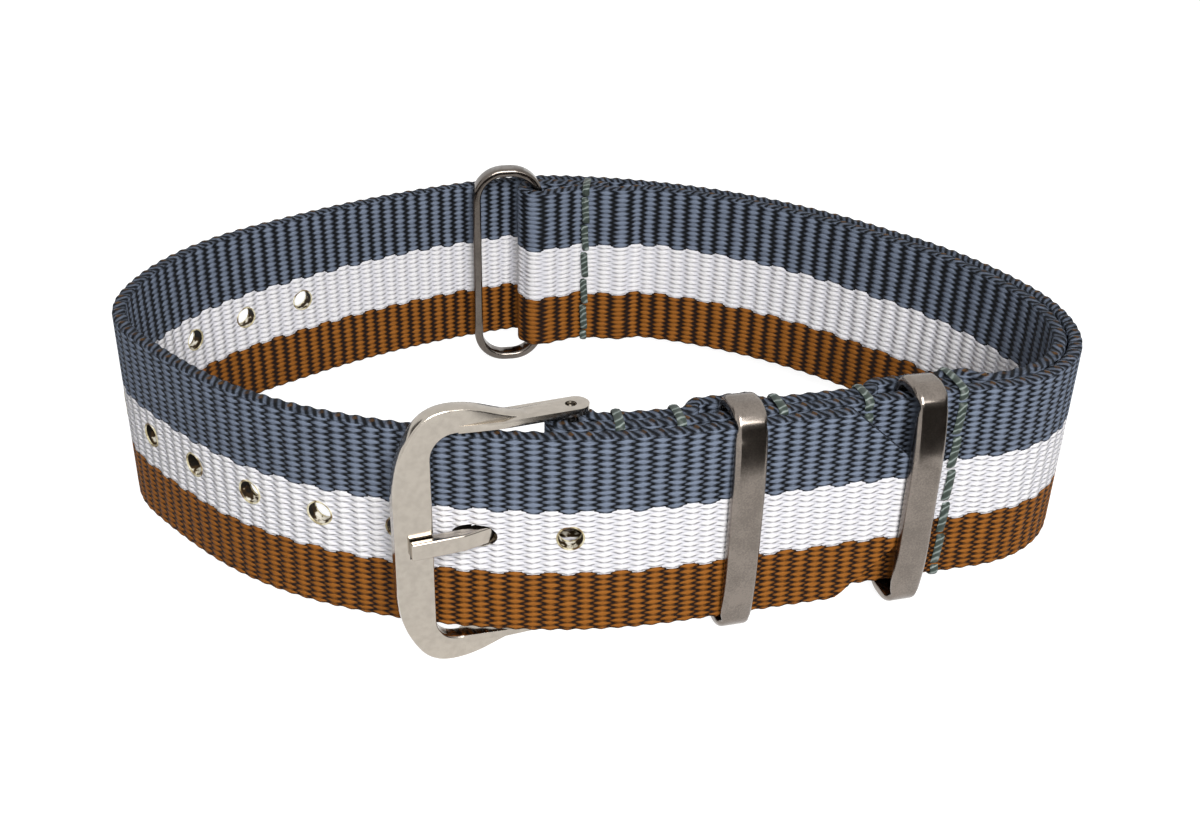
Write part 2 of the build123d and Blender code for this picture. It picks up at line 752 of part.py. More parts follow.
def comb(pose, depth, side):
    """One thread of a seam: a run along the webbing's face, with a leg down each needle hole."""
    heights = stitch_heights()
    outline = [(depth, heights[0] - thread / 2), (depth + thread, heights[0] - thread / 2)]
    outline += [(depth + thread, heights[-1] + thread / 2), (0, heights[-1] + thread / 2)]
    for upper, lower in zip(reversed(heights[1:]), reversed(heights[:-1])):
        outline += [(0, upper - thread / 2), (depth, upper - thread / 2)]
        outline += [(depth, lower + thread / 2), (0, lower + thread / 2)]
    outline += [(0, heights[0] - thread / 2)]
    plane = Plane(
        origin=(pose[0].X, pose[0].Y, 0),
        x_dir=tuple(-left_of(pose[1]) * side),
        z_dir=tuple(-direction(pose[1]) * side),
    )
    corners = [plane.from_local_coords(Vector(*corner)) for corner in outline]
    face = Face(Wire.make_polygon(corners, close=True))
    return extrude(face, amount=thread / 2, both=True)


def build():
    os.makedirs("parts", exist_ok=True)
    nodes = {
        "main_band": main_band(),
        "short_band": short_band(),
        "buckle_frame": buckle_frame(),
        "buckle_tang": buckle_tang(),
        "spring_bar_tube": spring_bar_tube(),
        "spring_bar_tip_upper": spring_bar_tip(1),
        "spring_bar_tip_lower": spring_bar_tip(-1),
        "spring_bar_spring": spring_bar_spring(),
        "keeper_near_buckle": keeper(first_keeper_place),
        "keeper_at_tail": keeper(second_keeper_place),
        "ring_keeper": ring_keeper(),
    }
    for name, (pose, outer, inner) in seams.items():
        nodes[name + "_needle_thread"] = comb(pose, outer, 1)
        nodes[name + "_bobbin_thread"] = comb(pose, inner, -1)
    box = Compound(list(nodes.values())).bounding_box()
    seat = Pos(-box.center().X, -box.center().Y, -box.min.Z)
    for name, solid in nodes.items():
        export_step(seat * solid, "parts/" + name + ".step")
    report(seat)


def report(seat):
    """The axes and the free sides of the moving pieces, for whoever joins them."""
    flat = walk(stack_end, right_steps)
    flat_middle = flat[0] + direction(flat[1]) * right_run[1] / 2 - left_of(flat[1]) * half_band
    places = {"spring bar": pin, "ring bar": eye, "flat": flat_middle, "first keeper": on_stack(first_keeper_place)}
    for name, place in places.items():
        print(name, (seat * Pos(place.X, place.Y)).position)
    print("headings: front", front_turn, "flat", flat[1], "buckle", bar_heading, "ring", ring_heading())


build()
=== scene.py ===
"""Dresses a pull-through watch strap: woven bands, stitching, steel finishes, floor, light and camera."""

from contextlib import contextmanager
from functools import partial
from math import acos, asin, atan2, ceil, cos, degrees, hypot, pi, radians, sin, sqrt, tan

import bpy
from bpy.props import FloatProperty, FloatVectorProperty, PointerProperty
from mathutils import Matrix, Vector


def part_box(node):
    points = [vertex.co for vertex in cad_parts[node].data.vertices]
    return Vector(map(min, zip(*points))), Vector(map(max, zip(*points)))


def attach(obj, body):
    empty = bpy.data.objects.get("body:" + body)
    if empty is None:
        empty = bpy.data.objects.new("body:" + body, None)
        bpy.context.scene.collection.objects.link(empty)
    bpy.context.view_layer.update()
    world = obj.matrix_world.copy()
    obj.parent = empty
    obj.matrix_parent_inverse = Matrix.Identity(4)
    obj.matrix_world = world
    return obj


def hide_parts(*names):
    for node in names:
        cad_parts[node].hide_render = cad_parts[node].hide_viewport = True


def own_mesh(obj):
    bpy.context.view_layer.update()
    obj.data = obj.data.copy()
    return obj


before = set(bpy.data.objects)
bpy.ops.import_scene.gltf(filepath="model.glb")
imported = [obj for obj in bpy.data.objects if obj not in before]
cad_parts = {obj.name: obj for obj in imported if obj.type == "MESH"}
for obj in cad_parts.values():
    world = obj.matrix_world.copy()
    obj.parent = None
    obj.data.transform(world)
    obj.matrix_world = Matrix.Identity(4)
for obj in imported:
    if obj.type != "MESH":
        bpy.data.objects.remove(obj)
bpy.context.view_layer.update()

bl_info = {
    "name": "Pull-Through Watch Strap",
    "version": (1, 0, 0),
    "blender": (4, 5, 0),
    "location": "View3D > Sidebar > Strap",
    "description": "Woven bands, stitching, steel finishes and a studio for a buckled watch strap",
    "category": "Add Mesh",
}

MM = 0.001

# the frame's own sizes
BAND_LOW, BAND_HIGH = (Vector(corner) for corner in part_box("main_band"))
BAR_LOW, BAR_HIGH = (Vector(corner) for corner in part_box("spring_bar_tube"))
PIN = (BAR_LOW + BAR_HIGH) / 2
BAND_WIDTH = BAND_HIGH.z - BAND_LOW.z
MIDDLE = (BAND_HIGH.z + BAND_LOW.z) / 2

# how the bands are folded: turns in degrees, radii as shares of the loop's mean radius
LOOP_RADIUS = 31.0 * MM
FRONT_TURN = 16.0
RIGHT_BEND_SHARES = [(69.0, 0.374), (31.0, 0.535), (24.0, 1.181)]
BACK_RIGHT_BEND_SHARES = [(11.0, 1.706)]
BACK_BEND_SHARES = [(29.0, 1.539)]
BACK_LEFT_BEND_SHARES = [(24.0, 0.594), (18.0, 2.303)]
LEFT_BEND_SHARES = [(11.0, 0.965), (34.0, 0.706), (46.0, 0.352), (7.0, 2.471), (23.0, 1.065), (17.0, 1.716)]
FRONT_BEND_SHARES = [(FRONT_TURN, 1.452)]

# places along the front stack, from the spring bar towards the right
PIN_TO_STRAIGHT = 9.0 * MM
STACK_STRAIGHT = 26.85 * MM
TAIL_LENGTH = 28.8 * MM
FOLD_RADIUS = 1.4 * MM
POCKET_CORNER = 0.95 * MM
POCKET_RISE = 1.2 * MM
END_SEAM_PLACE = 31.9 * MM
SEAM_MARGIN = 0.8 * MM
FIRST_POCKET_END_SEAM = 16.5 * MM
SECOND_POCKET_START = 24.0 * MM
SECOND_POCKET_LENGTH = 7.1 * MM
STACK_SEAM_PLACES = {
    "buckle_fold_seam": 3.6 * MM,
    "first_pocket_inner_seam": 8.3 * MM,
    "first_pocket_outer_seam": FIRST_POCKET_END_SEAM,
    "second_pocket_seam": 23.7 * MM,
}

# the tail's point, and the holes along it from the point outside the spring bar towards the left
TAIL_TAPER = 7.0 * MM
NOSE_HALF_SHARE = 0.5
NOSE_ROUNDNESS_SHARE = 0.45
NOSE_CURVE = ((0.08, 0.25), (0.25, 0.5), (0.55, 0.76), (1, 1))  # as shares of its depth and half width
HOLE_PITCH = 6.6 * MM
USED_HOLE = 6.6 * MM
HOLES_PAST_THE_USED_ONE = 10
TANG_OPENING = 1.9 * MM
TANG_HOLE_ROOM = 0.06 * MM
TANG_HOLE_DEPTH = 2.1328 * MM  # across the tang, from its back to its front
TANG_HOLE_STRETCH = TANG_HOLE_DEPTH / TANG_OPENING
TANG_SLANT = 38.3
SLOT_BEFORE_FOLD = 1.8 * MM
SLOT_PAST_FOLD = 6.7 * MM
LIP_SPREAD = 0.03 * MM
LIP_RADIUS = 0.08 * MM
LIP_SINK = 0.06 * MM

# the short band's fold round the ring keeper's bar
RING_BAR_WIDTH = 1.8 * MM
RING_BAR_THICKNESS = 0.9 * MM
RING_BAR_ROOM = 0.08 * MM
HALF_WEBBING = 0.6 * MM
RING_EYE_RADIUS = hypot(RING_BAR_WIDTH, RING_BAR_THICKNESS) / 2 + RING_BAR_ROOM + HALF_WEBBING
RING_EYE_PAST_BACK = 3.2 * MM
RING_LEAD_RADIUS = 1.8 * MM
RING_SEAM_TO_BACK_TURN = 2.6 * MM
RING_SWELL = 3.0 * MM
FLAP_PAST_SEAM = 2.4 * MM
RING_LEAD_MARGIN = 0.22 * MM

# the rounding of the buckle's frame and tang
FRAME_ROUNDING = 0.07 * MM
TANG_ROUNDING = 0.5 * MM

# when a steel piece is polished: points this near become one, faces as flat as this become one, and
# edges sharper than this are rounded (angles in degrees)
WELD = 0.0005 * MM
FLAT_ANGLE = 0.5
SHARP_ANGLE = 50

# sewing
STITCHES = 5
STITCH_INSET = 1.1 * MM
THREAD_STAND_OFF = 0.42  # of a stitch's middle, as a share of the thread's height
STITCH_SINK = 0.5 * MM
LOOP_SINK = 0.4 * MM
LOOP_START = 0.15 * MM

# each lamp's place and size in metres, and the setting that gives its power
LAMPS = {
    "Key light": ((0.06, -0.26, 0.2), 0.16, "key_power"),
    "Left fill": ((-0.36, -0.1, 0.16), 0.2, "fill_power"),
    "Glint light": ((0.23, -0.3, 0.2), 0.09, "glint_power"),
}
VIEW_TARGET = Vector((-32.54, 8.83)) * MM  # what the camera looks at, from the end of the front stack

# the cards that darken the steel's reflections
BENT_CARD = {"vertices": 96, "radius": 66 * MM, "depth": 36 * MM, "location": (0, 0, 18.5 * MM)}
BENT_CARD_BACK = -10 * MM
BENT_CARD_LEFT = 22 * MM
LEFT_CARD = {"size": 60 * MM, "location": (-110 * MM, 0, 62 * MM), "rotation": (0, pi / 2, 0)}

# the weave
RIB_COLUMNS = 6  # of faces along one rib
EDGE_ROUNDING = 0.36 * MM
SELVEDGE_HEIGHT = 0.3 * MM
SELVEDGE_RIPPLE = 0.07 * MM
SELVEDGE_BLEND = (0.34 * MM, 0.2 * MM)  # how far from the edge its own pattern begins, and is full
END_FACE_NORMAL = 0.9  # how far along the strip the normal of a cut end points, at least
STRIPE_EDGES = (0.325, 0.63)  # as shares of the band's width, from its lower edge
BEAD_BEND = 0.13  # how far a bead bulges between its neighbours, as a share of the rib pitch
FILAMENT = 0.08 * MM  # 0.03 mm in real yarn, drawn thicker so that it shows
NYLON_IOR = 1.53
POLYESTER_IOR = 1.5
BIG = 10.0

# kinds of shader nodes that come up often, some with a setting
OPERATIONS = ("ADD", "SUBTRACT", "MULTIPLY", "DIVIDE", "MODULO", "ROUND", "ABSOLUTE", "FRACT", "MAXIMUM")
PLUS, MINUS, TIMES, OVER, REMAINDER, ROUND, ABSOLUTE, FRACTION, LARGER = (
    ("ShaderNodeMath", {"operation": name}) for name in OPERATIONS
)
RANGE = "ShaderNodeMapRange"
SMOOTH = (RANGE, {"interpolation_type": "SMOOTHSTEP"})
MIX_VALUES, MIX_COLOURS = (("ShaderNodeMix", {"data_type": name}) for name in ("FLOAT", "RGBA"))
SPLIT, COMBINE = "ShaderNodeSeparateXYZ", "ShaderNodeCombineXYZ"
NOISE, RAMP, CLAMP = "ShaderNodeTexNoise", "ShaderNodeValToRGB", "ShaderNodeClamp"
BUMP, SURFACE, MATTE = "ShaderNodeBump", "ShaderNodeBsdfPrincipled", "ShaderNodeBsdfDiffuse"
RAY, BACKGROUND = "ShaderNodeLightPath", "ShaderNodeBackground"


def linear(hex_colour):
    """An sRGB hex colour as linear red, green, blue and alpha."""
    parts = [int(hex_colour[place : place + 2], 16) / 255 for place in (1, 3, 5)]
    bright = [part / 12.92 if part <= 0.04045 else ((part + 0.055) / 1.055) ** 2.4 for part in parts]
    return (*bright, 1.0)


def colour(name, description, hex_colour):
    return FloatVectorProperty(
        name=name, description=description, subtype="COLOR", size=4, min=0, max=1, default=linear(hex_colour)
    )


def number(name, description, value, **more):
    return FloatProperty(name=name, description=description, default=value, **more)


def length(name, description, millimetres):
    return number(name, description, millimetres * MM, unit="LENGTH", precision=5)


class StrapWebbing(bpy.types.PropertyGroup):
    """Sizes and colours of the woven bands"""

    thickness: length("Thickness", "Thickness of the webbing", 1.2)
    ply_gap: length("Ply gap", "Space between sewn plies", 0.1)
    tail_gap: length("Tail gap", "Space under the tail", 0.35)
    rib: length("Rib pitch", "Length of the long band that one woven rib takes", 1.36)
    short_rib: length("Short band's rib pitch", "Length of the short band that one woven rib takes", 1.65)
    yarn: length("Yarn pitch", "Height of one warp yarn across the band", 0.515)
    relief: length("Rib relief", "How far a rib stands out of the face", 0.08)
    hole: length("Hole", "Diameter of an adjusting hole", 2.0)
    # each yarn colour is the lit side of its yarn; each groove colour is painted shade, the dark that falls
    # in the gaps between the yarns
    top_yarn: colour("Top yarn", "Lit side of the top stripe's yarn", "#747e90")
    top_groove_shade: colour("Top groove", "Gaps between the top stripe's yarns", "#04060a")
    middle_yarn: colour("Middle yarn", "Lit side of the middle stripe's yarn", "#efedee")
    middle_groove_shade: colour("Middle groove", "Gaps between the middle stripe's yarns", "#dcdbe1")
    bottom_yarn: colour("Bottom yarn", "Lit side of the bottom stripe's yarn", "#985d21")
    bottom_groove_shade: colour("Bottom groove", "Gaps between the bottom stripe's yarns", "#170802")
    selvedge_loop: colour("Edge loop", "The weft loops that show on the upper edge", "#5e4326")


class StrapSewing(bpy.types.PropertyGroup):
    """The thread that joins the plies"""

    thread: length("Thread width", "Width of the flattened thread", 0.75)
    height: length("Thread height", "How far the thread stands off the webbing", 0.3)
    slant: length("Slant", "How far a stitch leans along the band", 0.22)
    thread_colour: colour("Thread", "Waxed polyester", "#414d46")


class StrapSteel(bpy.types.PropertyGroup):
    """Finishes of the metal pieces"""

    polished: colour("Polished steel", "Buckle, tang and spring bar", "#b9b1a6")
    satin: colour("Satin steel", "Keepers", "#8c837b")
    # the spring bar's tips also carry this dark colour, as painted shade in the frame's ear holes
    wire: colour("Spring wire", "The coil and the tips of the spring bar", "#5d5b57")


class StrapStudio(bpy.types.PropertyGroup):
    """Camera, lamps and floor"""

    lens: number("Lens", "Focal length in millimetres on a 36 mm sensor", 41.825)
    elevation: number("Elevation", "Height of the view over the floor", radians(29.264), subtype="ANGLE")
    roll: number("Roll", "Turn of the camera about its view", radians(1.713), subtype="ANGLE")
    distance: length("Distance", "From the camera to the point it looks at", 124.276)
    key_power: number("Key light", "Power of the lamp over the camera, in watts", 1.22)
    fill_power: number("Fill light", "Power of the lamp at the left, in watts", 0.05)
    glint_power: number("Glint light", "Power of the small lamp at the right, in watts", 0.12)
    world: number("World", "Strength of the light from all around", 0.17)
    floor: colour("Floor", "Paper floor", "#9c9c9c")


# ---- the line that the bands follow ----


def settings(group="webbing"):
    return getattr(bpy.context.scene, "strap_" + group)


def direction(heading):
    return Vector((cos(radians(heading)), sin(radians(heading))))


def left_of(heading):
    return direction(heading + 90)


def step(pose, turn, size):
    """The pose after one step: a straight run where turn is 0, otherwise an arc of that radius."""
    place, heading = pose
    if turn == 0:
        return place + direction(heading) * size, heading
    side = 1 if turn > 0 else -1
    centre = place + left_of(heading) * side * size
    return centre - left_of(heading + turn) * side * size, heading + turn


def walk(pose, steps):
    for turn, size in steps:
        pose = step(pose, turn, size)
    return pose


def arcs(shares):
    return [(turn, share * LOOP_RADIUS) for turn, share in shares]


def backwards(steps):
    return [(-turn, size) for turn, size in reversed(steps)]


def shifted(steps, distance):
    return [(turn, size if turn == 0 else size - distance) for turn, size in steps]


def run_of(steps):
    """How long a line of steps is."""
    return sum(size if turn == 0 else abs(radians(turn)) * size for turn, size in steps)


def side_step(start_radius, end_radius, bend):
    """Two arcs that take a left-hand arc about a centre from one radius to another, and the angle used."""
    first, second, reach = start_radius - bend, end_radius + bend, 2 * bend
    angle = triangle_angle(first, second, reach)
    lean = triangle_angle(second, reach, first)
    return [(angle + lean, bend), (-lean, bend)], angle


def straight_side_step(distance, bend):
    """Two arcs that move a straight run to the left by a distance, or to the right where it is negative."""
    turn = degrees(acos(1 - abs(distance) / (2 * bend)))
    side = 1 if distance > 0 else -1
    return [(side * turn, bend), (-side * turn, bend)], 2 * bend * sin(radians(turn))


def triangle_angle(near, far, opposite):
    """The angle, in degrees, between two sides of a triangle whose third side is opposite."""
    return degrees(acos((near**2 + far**2 - opposite**2) / (2 * near * far)))


class Route:
    """The lines of both bands, seen from above, as steps from a starting pose."""

    def __init__(self):
        webbing = settings()
        self.half_band = webbing.thickness / 2
        self.ply = webbing.thickness + webbing.ply_gap
        self.tail_offset = webbing.thickness + webbing.tail_gap
        self.front_radius = FRONT_BEND_SHARES[0][1] * LOOP_RADIUS
        self.stack_radius = self.front_radius - self.tail_offset
        self.pin_angle = degrees(PIN_TO_STRAIGHT / self.stack_radius)
        self.place_the_front()
        self.close_the_loop()
        self.place_the_ring()

    def place_the_front(self):
        """The end of the front stack, from the place of the spring bar."""
        heading = FRONT_TURN - self.pin_angle
        start = -direction(FRONT_TURN) * STACK_STRAIGHT
        centre = start + left_of(FRONT_TURN) * self.stack_radius
        pin = centre - left_of(heading) * (self.stack_radius - FOLD_RADIUS)
        self.stack_end = PIN.xy - pin
        self.stack_start = self.stack_end + start
        self.front_centre = self.stack_end + centre

    def close_the_loop(self):
        """Two straight runs at the back are as long as it takes to close the loop."""
        self.right = arcs(RIGHT_BEND_SHARES)
        self.back_right = arcs(BACK_RIGHT_BEND_SHARES)
        self.back = arcs(BACK_BEND_SHARES)
        self.back_left = arcs(BACK_LEFT_BEND_SHARES)
        self.left = arcs(LEFT_BEND_SHARES) + arcs(FRONT_BEND_SHARES)
        pose = walk((Vector((0, 0)), FRONT_TURN), self.right)
        first = direction(pose[1])
        pose = walk(pose, self.back_right + self.back + self.back_left)
        second = direction(pose[1])
        pose = walk(pose, self.left)
        rest = -direction(FRONT_TURN) * STACK_STRAIGHT - left_of(FRONT_TURN) * self.tail_offset - pose[0]
        scale = first.x * second.y - first.y * second.x
        self.right_run = (0, (rest.x * second.y - rest.y * second.x) / scale)
        self.left_run = (0, (first.x * rest.y - first.y * rest.x) / scale)
        self.loop = self.right + [self.right_run] + self.back_right + self.back + self.back_left
        self.loop += [self.left_run] + self.left

    def place_the_ring(self):
        pose = walk((self.stack_end, FRONT_TURN), self.right + [self.right_run] + self.back_right + self.back)
        self.back_end = pose
        self.back_radius = self.back[0][1]
        self.kink_radius = self.back_left[0][1]
        self.eye_angle = degrees(RING_EYE_PAST_BACK / self.kink_radius)
        self.eye_heading = pose[1] + self.eye_angle
        centre = pose[0] + left_of(pose[1]) * self.kink_radius
        self.eye = centre - left_of(self.eye_heading) * (self.kink_radius - self.ply - RING_EYE_RADIUS)

    def on_stack(self, place, offset=0.0):
        along = place - PIN_TO_STRAIGHT
        return self.stack_start + direction(FRONT_TURN) * along + left_of(FRONT_TURN) * offset

    def long_band(self):
        """From the end of the tail to the seam that joins the short band."""
        start = (self.on_stack(TAIL_LENGTH, -self.tail_offset), FRONT_TURN + 180)
        steps = [(0, TAIL_LENGTH - PIN_TO_STRAIGHT)] + backwards(self.loop)
        steps += [(0, STACK_STRAIGHT), (-self.pin_angle, self.stack_radius)]
        return start, steps + self.second_ply()

    def to_the_pin(self):
        """How far along the long band the point outside the spring bar lies."""
        return TAIL_LENGTH - PIN_TO_STRAIGHT + radians(self.pin_angle) * self.front_radius

    def to_the_fold(self):
        """How far along the long band its fold round the spring bar starts."""
        return TAIL_LENGTH - PIN_TO_STRAIGHT + run_of(self.loop) + STACK_STRAIGHT + PIN_TO_STRAIGHT

    def second_ply(self):
        inner = self.stack_radius - self.ply
        first, second, reach = self.stack_radius - FOLD_RADIUS, inner - FOLD_RADIUS, 2 * FOLD_RADIUS
        angle = triangle_angle(first, second, reach)
        lean = triangle_angle(first, reach, second)
        bulge, bulge_run = straight_side_step(POCKET_RISE, POCKET_CORNER)
        hollow, _ = straight_side_step(-POCKET_RISE, POCKET_CORNER)
        first_flat = FIRST_POCKET_END_SEAM - SEAM_MARGIN / 2 - PIN_TO_STRAIGHT - 2 * bulge_run
        second_flat = SECOND_POCKET_LENGTH - 2 * bulge_run
        between = SECOND_POCKET_START - PIN_TO_STRAIGHT - first_flat - 2 * bulge_run
        tail_run = END_SEAM_PLACE + SEAM_MARGIN - SECOND_POCKET_START - SECOND_POCKET_LENGTH
        steps = [(-180 - lean, FOLD_RADIUS), (angle + lean, FOLD_RADIUS), (self.pin_angle - angle, inner)]
        steps += bulge + [(0, first_flat)] + hollow + [(0, between)]
        return steps + bulge + [(0, second_flat)] + hollow + [(0, tail_run)]

    def short_band(self):
        """From beside the end seam, round the right, to the flap's cut end behind the ring's seam."""
        ply = self.ply
        start_place = END_SEAM_PLACE - SEAM_MARGIN
        start = (self.on_stack(start_place, 2 * ply), FRONT_TURN)
        shift, shift_run = straight_side_step(-ply, settings().thickness * 4 / 3)
        lead = END_SEAM_PLACE + 1.25 * SEAM_MARGIN - start_place
        rest = PIN_TO_STRAIGHT + STACK_STRAIGHT - start_place - lead - shift_run
        steps = [(0, lead)] + shift + [(0, rest)]
        steps += shifted(self.right, ply) + [self.right_run] + shifted(self.back_right, ply)
        swell, swell_angle = side_step(self.back_radius - ply, self.back_radius - 2 * ply, RING_SWELL)
        seam_angle = degrees(RING_SEAM_TO_BACK_TURN / self.back_radius)
        flat_angle = degrees((FLAP_PAST_SEAM + SEAM_MARGIN) / self.back_radius)
        lead_angle = degrees(RING_LEAD_MARGIN / self.back_radius)
        plain = self.back[0][0] - seam_angle - flat_angle - swell_angle
        steps += [(plain, self.back_radius - ply)] + swell
        steps += [(flat_angle + lead_angle, self.back_radius - 2 * ply)]
        steps += self.round_the_eye(walk(start, steps))
        steps += [(-self.eye_angle, self.kink_radius - ply)]
        steps += [(-seam_angle - degrees(FLAP_PAST_SEAM / self.back_radius), self.back_radius - ply)]
        return start, steps

    def round_the_eye(self, pose):
        """A left-hand arc, a straight run, and the fold round the ring keeper's bar."""
        place, heading = pose
        centre = place + left_of(heading) * RING_LEAD_RADIUS
        gap = self.eye - centre
        both = RING_LEAD_RADIUS + RING_EYE_RADIUS
        lean = degrees(atan2(gap.y, gap.x) + asin(both / gap.length))
        lean = heading + (lean - heading + 180) % 360 - 180
        turn = (lean - (self.eye_heading - 180)) % 360
        between = sqrt(gap.length**2 - both**2)
        return [(lean - heading, RING_LEAD_RADIUS), (0, between), (-turn, RING_EYE_RADIUS)]

    def seams(self):
        """Each seam's pose on the plies' middle line, and how far off it the threads lie."""
        two = self.ply - settings().ply_gap / 2
        three = 3 * self.half_band + settings().ply_gap
        found = {}
        for name, place in STACK_SEAM_PLACES.items():
            heading = FRONT_TURN
            pose = self.on_stack(place, self.ply / 2)
            if place < PIN_TO_STRAIGHT:
                heading -= degrees((PIN_TO_STRAIGHT - place) / self.stack_radius)
                pose = self.front_centre - left_of(heading) * (self.stack_radius - self.ply / 2)
            found[name] = (pose, heading, two)
        found["band_joining_seam"] = (self.on_stack(END_SEAM_PLACE, self.ply), FRONT_TURN, three)
        heading = self.back_end[1] - degrees(RING_SEAM_TO_BACK_TURN / self.back_radius)
        centre = self.back_end[0] + left_of(self.back_end[1]) * self.back_radius
        pose = centre - left_of(heading) * (self.back_radius - 1.5 * self.ply)
        found["ring_fold_seam"] = (pose, heading, two)
        return found


# ---- small modelling helpers ----


def start_piece():
    if bpy.context.object and bpy.context.object.mode != "OBJECT":
        bpy.ops.object.mode_set(mode="OBJECT")
    bpy.ops.object.select_all(action="DESELECT")


def primitive(kind, name, **options):
    """One of Blender's own meshes."""
    start_piece()
    getattr(bpy.ops.mesh, "primitive_" + kind + "_add")(**options)
    bpy.context.object.name = name
    return bpy.context.object


def select_only(*objects):
    start_piece()
    for item in objects:
        item.select_set(True)
    bpy.context.view_layer.objects.active = objects[0]


@contextmanager
def editing(obj):
    """Edit mode, with the whole mesh selected."""
    select_only(obj)
    bpy.ops.object.mode_set(mode="EDIT")
    bpy.ops.mesh.select_all(action="SELECT")
    yield
    bpy.ops.object.mode_set(mode="OBJECT")


def duplicate(obj):
    copy = obj.copy()
    copy.data = obj.data.copy()
    bpy.context.collection.objects.link(copy)
    return copy


def settle(obj):
    """Leaves the object at the origin, unturned and unscaled, with its place in its mesh."""
    select_only(obj)
    bpy.ops.object.transform_apply(location=True, rotation=True, scale=True)


def apply_modifiers(obj):
    select_only(obj)
    for modifier in list(obj.modifiers):
        bpy.ops.object.modifier_apply(modifier=modifier.name)


def join(objects):
    select_only(*objects)
    if len(objects) > 1:
        bpy.ops.object.join()
    return objects[0]


def smooth(obj, angle=35):
    select_only(obj)
    bpy.ops.object.shade_smooth_by_angle(angle=radians(angle))


def clear_materials(obj, *materials):
    obj.data.materials.clear()
    for material in materials:
        obj.data.materials.append(material)


def path_curve(name, start, steps):
    """A flat Bezier curve along the steps, for the Curve modifier to bend a strip along."""
    poses = [start]
    pieces = []
    for turn, size in steps:
        count = max(1, ceil(abs(turn) / 30))
        pieces += [(turn / count, size)] * count
    handles = []
    for turn, size in pieces:
        handles.append(size / 3 if turn == 0 else 4 / 3 * tan(radians(abs(turn)) / 4) * size)
        poses.append(step(poses[-1], turn, size))
    data = bpy.data.curves.new(name, "CURVE")
    data.dimensions = "2D"
    data.resolution_u = 24
    spline = data.splines.new("BEZIER")
    spline.bezier_points.add(len(poses) - 1)
    sides = zip(handles[:1] + handles, handles + handles[-1:])
    for point, (place, heading), (before, after) in zip(spline.bezier_points, poses, sides):
        point.co = (*place, 0)
        point.handle_left = (*(place - direction(heading) * before), 0)
        point.handle_right = (*(place + direction(heading) * after), 0)
    curve = bpy.data.objects.new(name, data)
    bpy.context.collection.objects.link(curve)
    return curve


def strip_section(thickness, width, corner, face_rows=14):
    """Points round the webbing's section, anticlockwise, as (thickness, width) places."""
    half, tall = thickness / 2 - corner, width / 2 - corner
    corners = []
    for start, y, z in ((0, half, tall), (90, -half, tall), (180, -half, -tall), (270, half, -tall)):
        for angle in (0, 30, 60, 90):
            out = direction(start + angle) * corner
            corners.append((y + out.x, z + out.y))
    section = []
    for point, after in zip(corners, corners[1:] + corners[:1]):
        section.append(point)
        climb = after[1] - point[1]
        if abs(climb) > width / 2:
            section += [(point[0], point[1] + climb * row / face_rows) for row in range(1, face_rows)]
    return section + [section[0]]


def flat_strip(name, run, rib_pitch, outer_side):
    """A closed flat strip of webbing along X, rolled up from a grid, with its ribs and selvedges in relief.

    Its UV map counts ribs along it, and runs from the inner face to the outer one across its thickness.
    """
    webbing = settings()
    section = strip_section(webbing.thickness, BAND_WIDTH, EDGE_ROUNDING)
    rows = len(section) - 1
    columns = ceil(run / rib_pitch * RIB_COLUMNS)
    strip = primitive("grid", name, x_subdivisions=columns, y_subdivisions=rows, size=1)
    mesh = strip.data
    uv = mesh.uv_layers[0] if mesh.uv_layers else mesh.uv_layers.new(name="Weave")
    uv.name = "Weave"
    placed = []
    for vertex in mesh.vertices:
        along = (vertex.co.x + 0.5) * run
        row = round((vertex.co.y + 0.5) * rows)
        placed.append((along, *section[row]))
    for loop in mesh.loops:
        along, across, _ = placed[loop.vertex_index]
        uv.data[loop.index].uv = (along / rib_pitch, outer_side * across / webbing.thickness)
    for vertex, (along, across, height) in zip(mesh.vertices, placed):
        rib = -cos(2 * pi * along / rib_pitch)
        side = 1 if across > 0 else -1
        edge = abs(height) > BAND_WIDTH / 2 - SELVEDGE_HEIGHT
        lift = 0 if edge else webbing.relief * (rib - 1) / 2
        ripple = SELVEDGE_RIPPLE * (rib - 1) * (1 if height > 0 else -1) if edge else 0
        vertex.co = (along, across + side * lift, height + ripple)
    with editing(strip):
        bpy.ops.mesh.remove_doubles(threshold=0.001 * MM)
        bpy.ops.mesh.fill_holes(sides=0)
        bpy.ops.mesh.select_all(action="SELECT")
        bpy.ops.mesh.normals_make_consistent(inside=False)
    return strip


def prism(name, outline, low, high):
    """A straight-sided block: the outline in X and Z, from low to high along Y."""
    block = primitive("circle", name, vertices=len(outline), radius=MM, fill_type="NGON")
    for vertex, (x, z) in zip(block.data.vertices, outline):
        vertex.co = (x, low, z)
    with editing(block):
        bpy.ops.mesh.extrude_region_move(TRANSFORM_OT_translate={"value": (0, high - low, 0)})
        bpy.ops.mesh.select_all(action="SELECT")
        bpy.ops.mesh.normals_make_consistent(inside=False)
    return block


def cut(obj, cutters, material):
    """Takes the cutters out of the object; the cut walls get the cutters' material."""
    cutter = join(cutters)
    clear_materials(cutter, material)
    settle(cutter)
    taken = obj.modifiers.new("Holes", "BOOLEAN")
    taken.operation = "DIFFERENCE"
    taken.solver = "EXACT"
    taken.material_mode = "TRANSFER"
    taken.object = cutter
    apply_modifiers(obj)
    bpy.data.objects.remove(cutter)


def bend_along(obj, start, steps):
    """Bends a flat strip along the steps, lifts it to the band's level and shades it smooth."""
    curve = path_curve(obj.name + "_line", start, steps)
    bend = obj.modifiers.new("Bend", "CURVE")
    bend.object = curve
    bend.deform_axis = "POS_X"
    apply_modifiers(obj)
    bpy.data.objects.remove(curve)
    obj.data.transform(Matrix.Translation((0, 0, MIDDLE)))
    smooth(obj)


# ---- materials ----


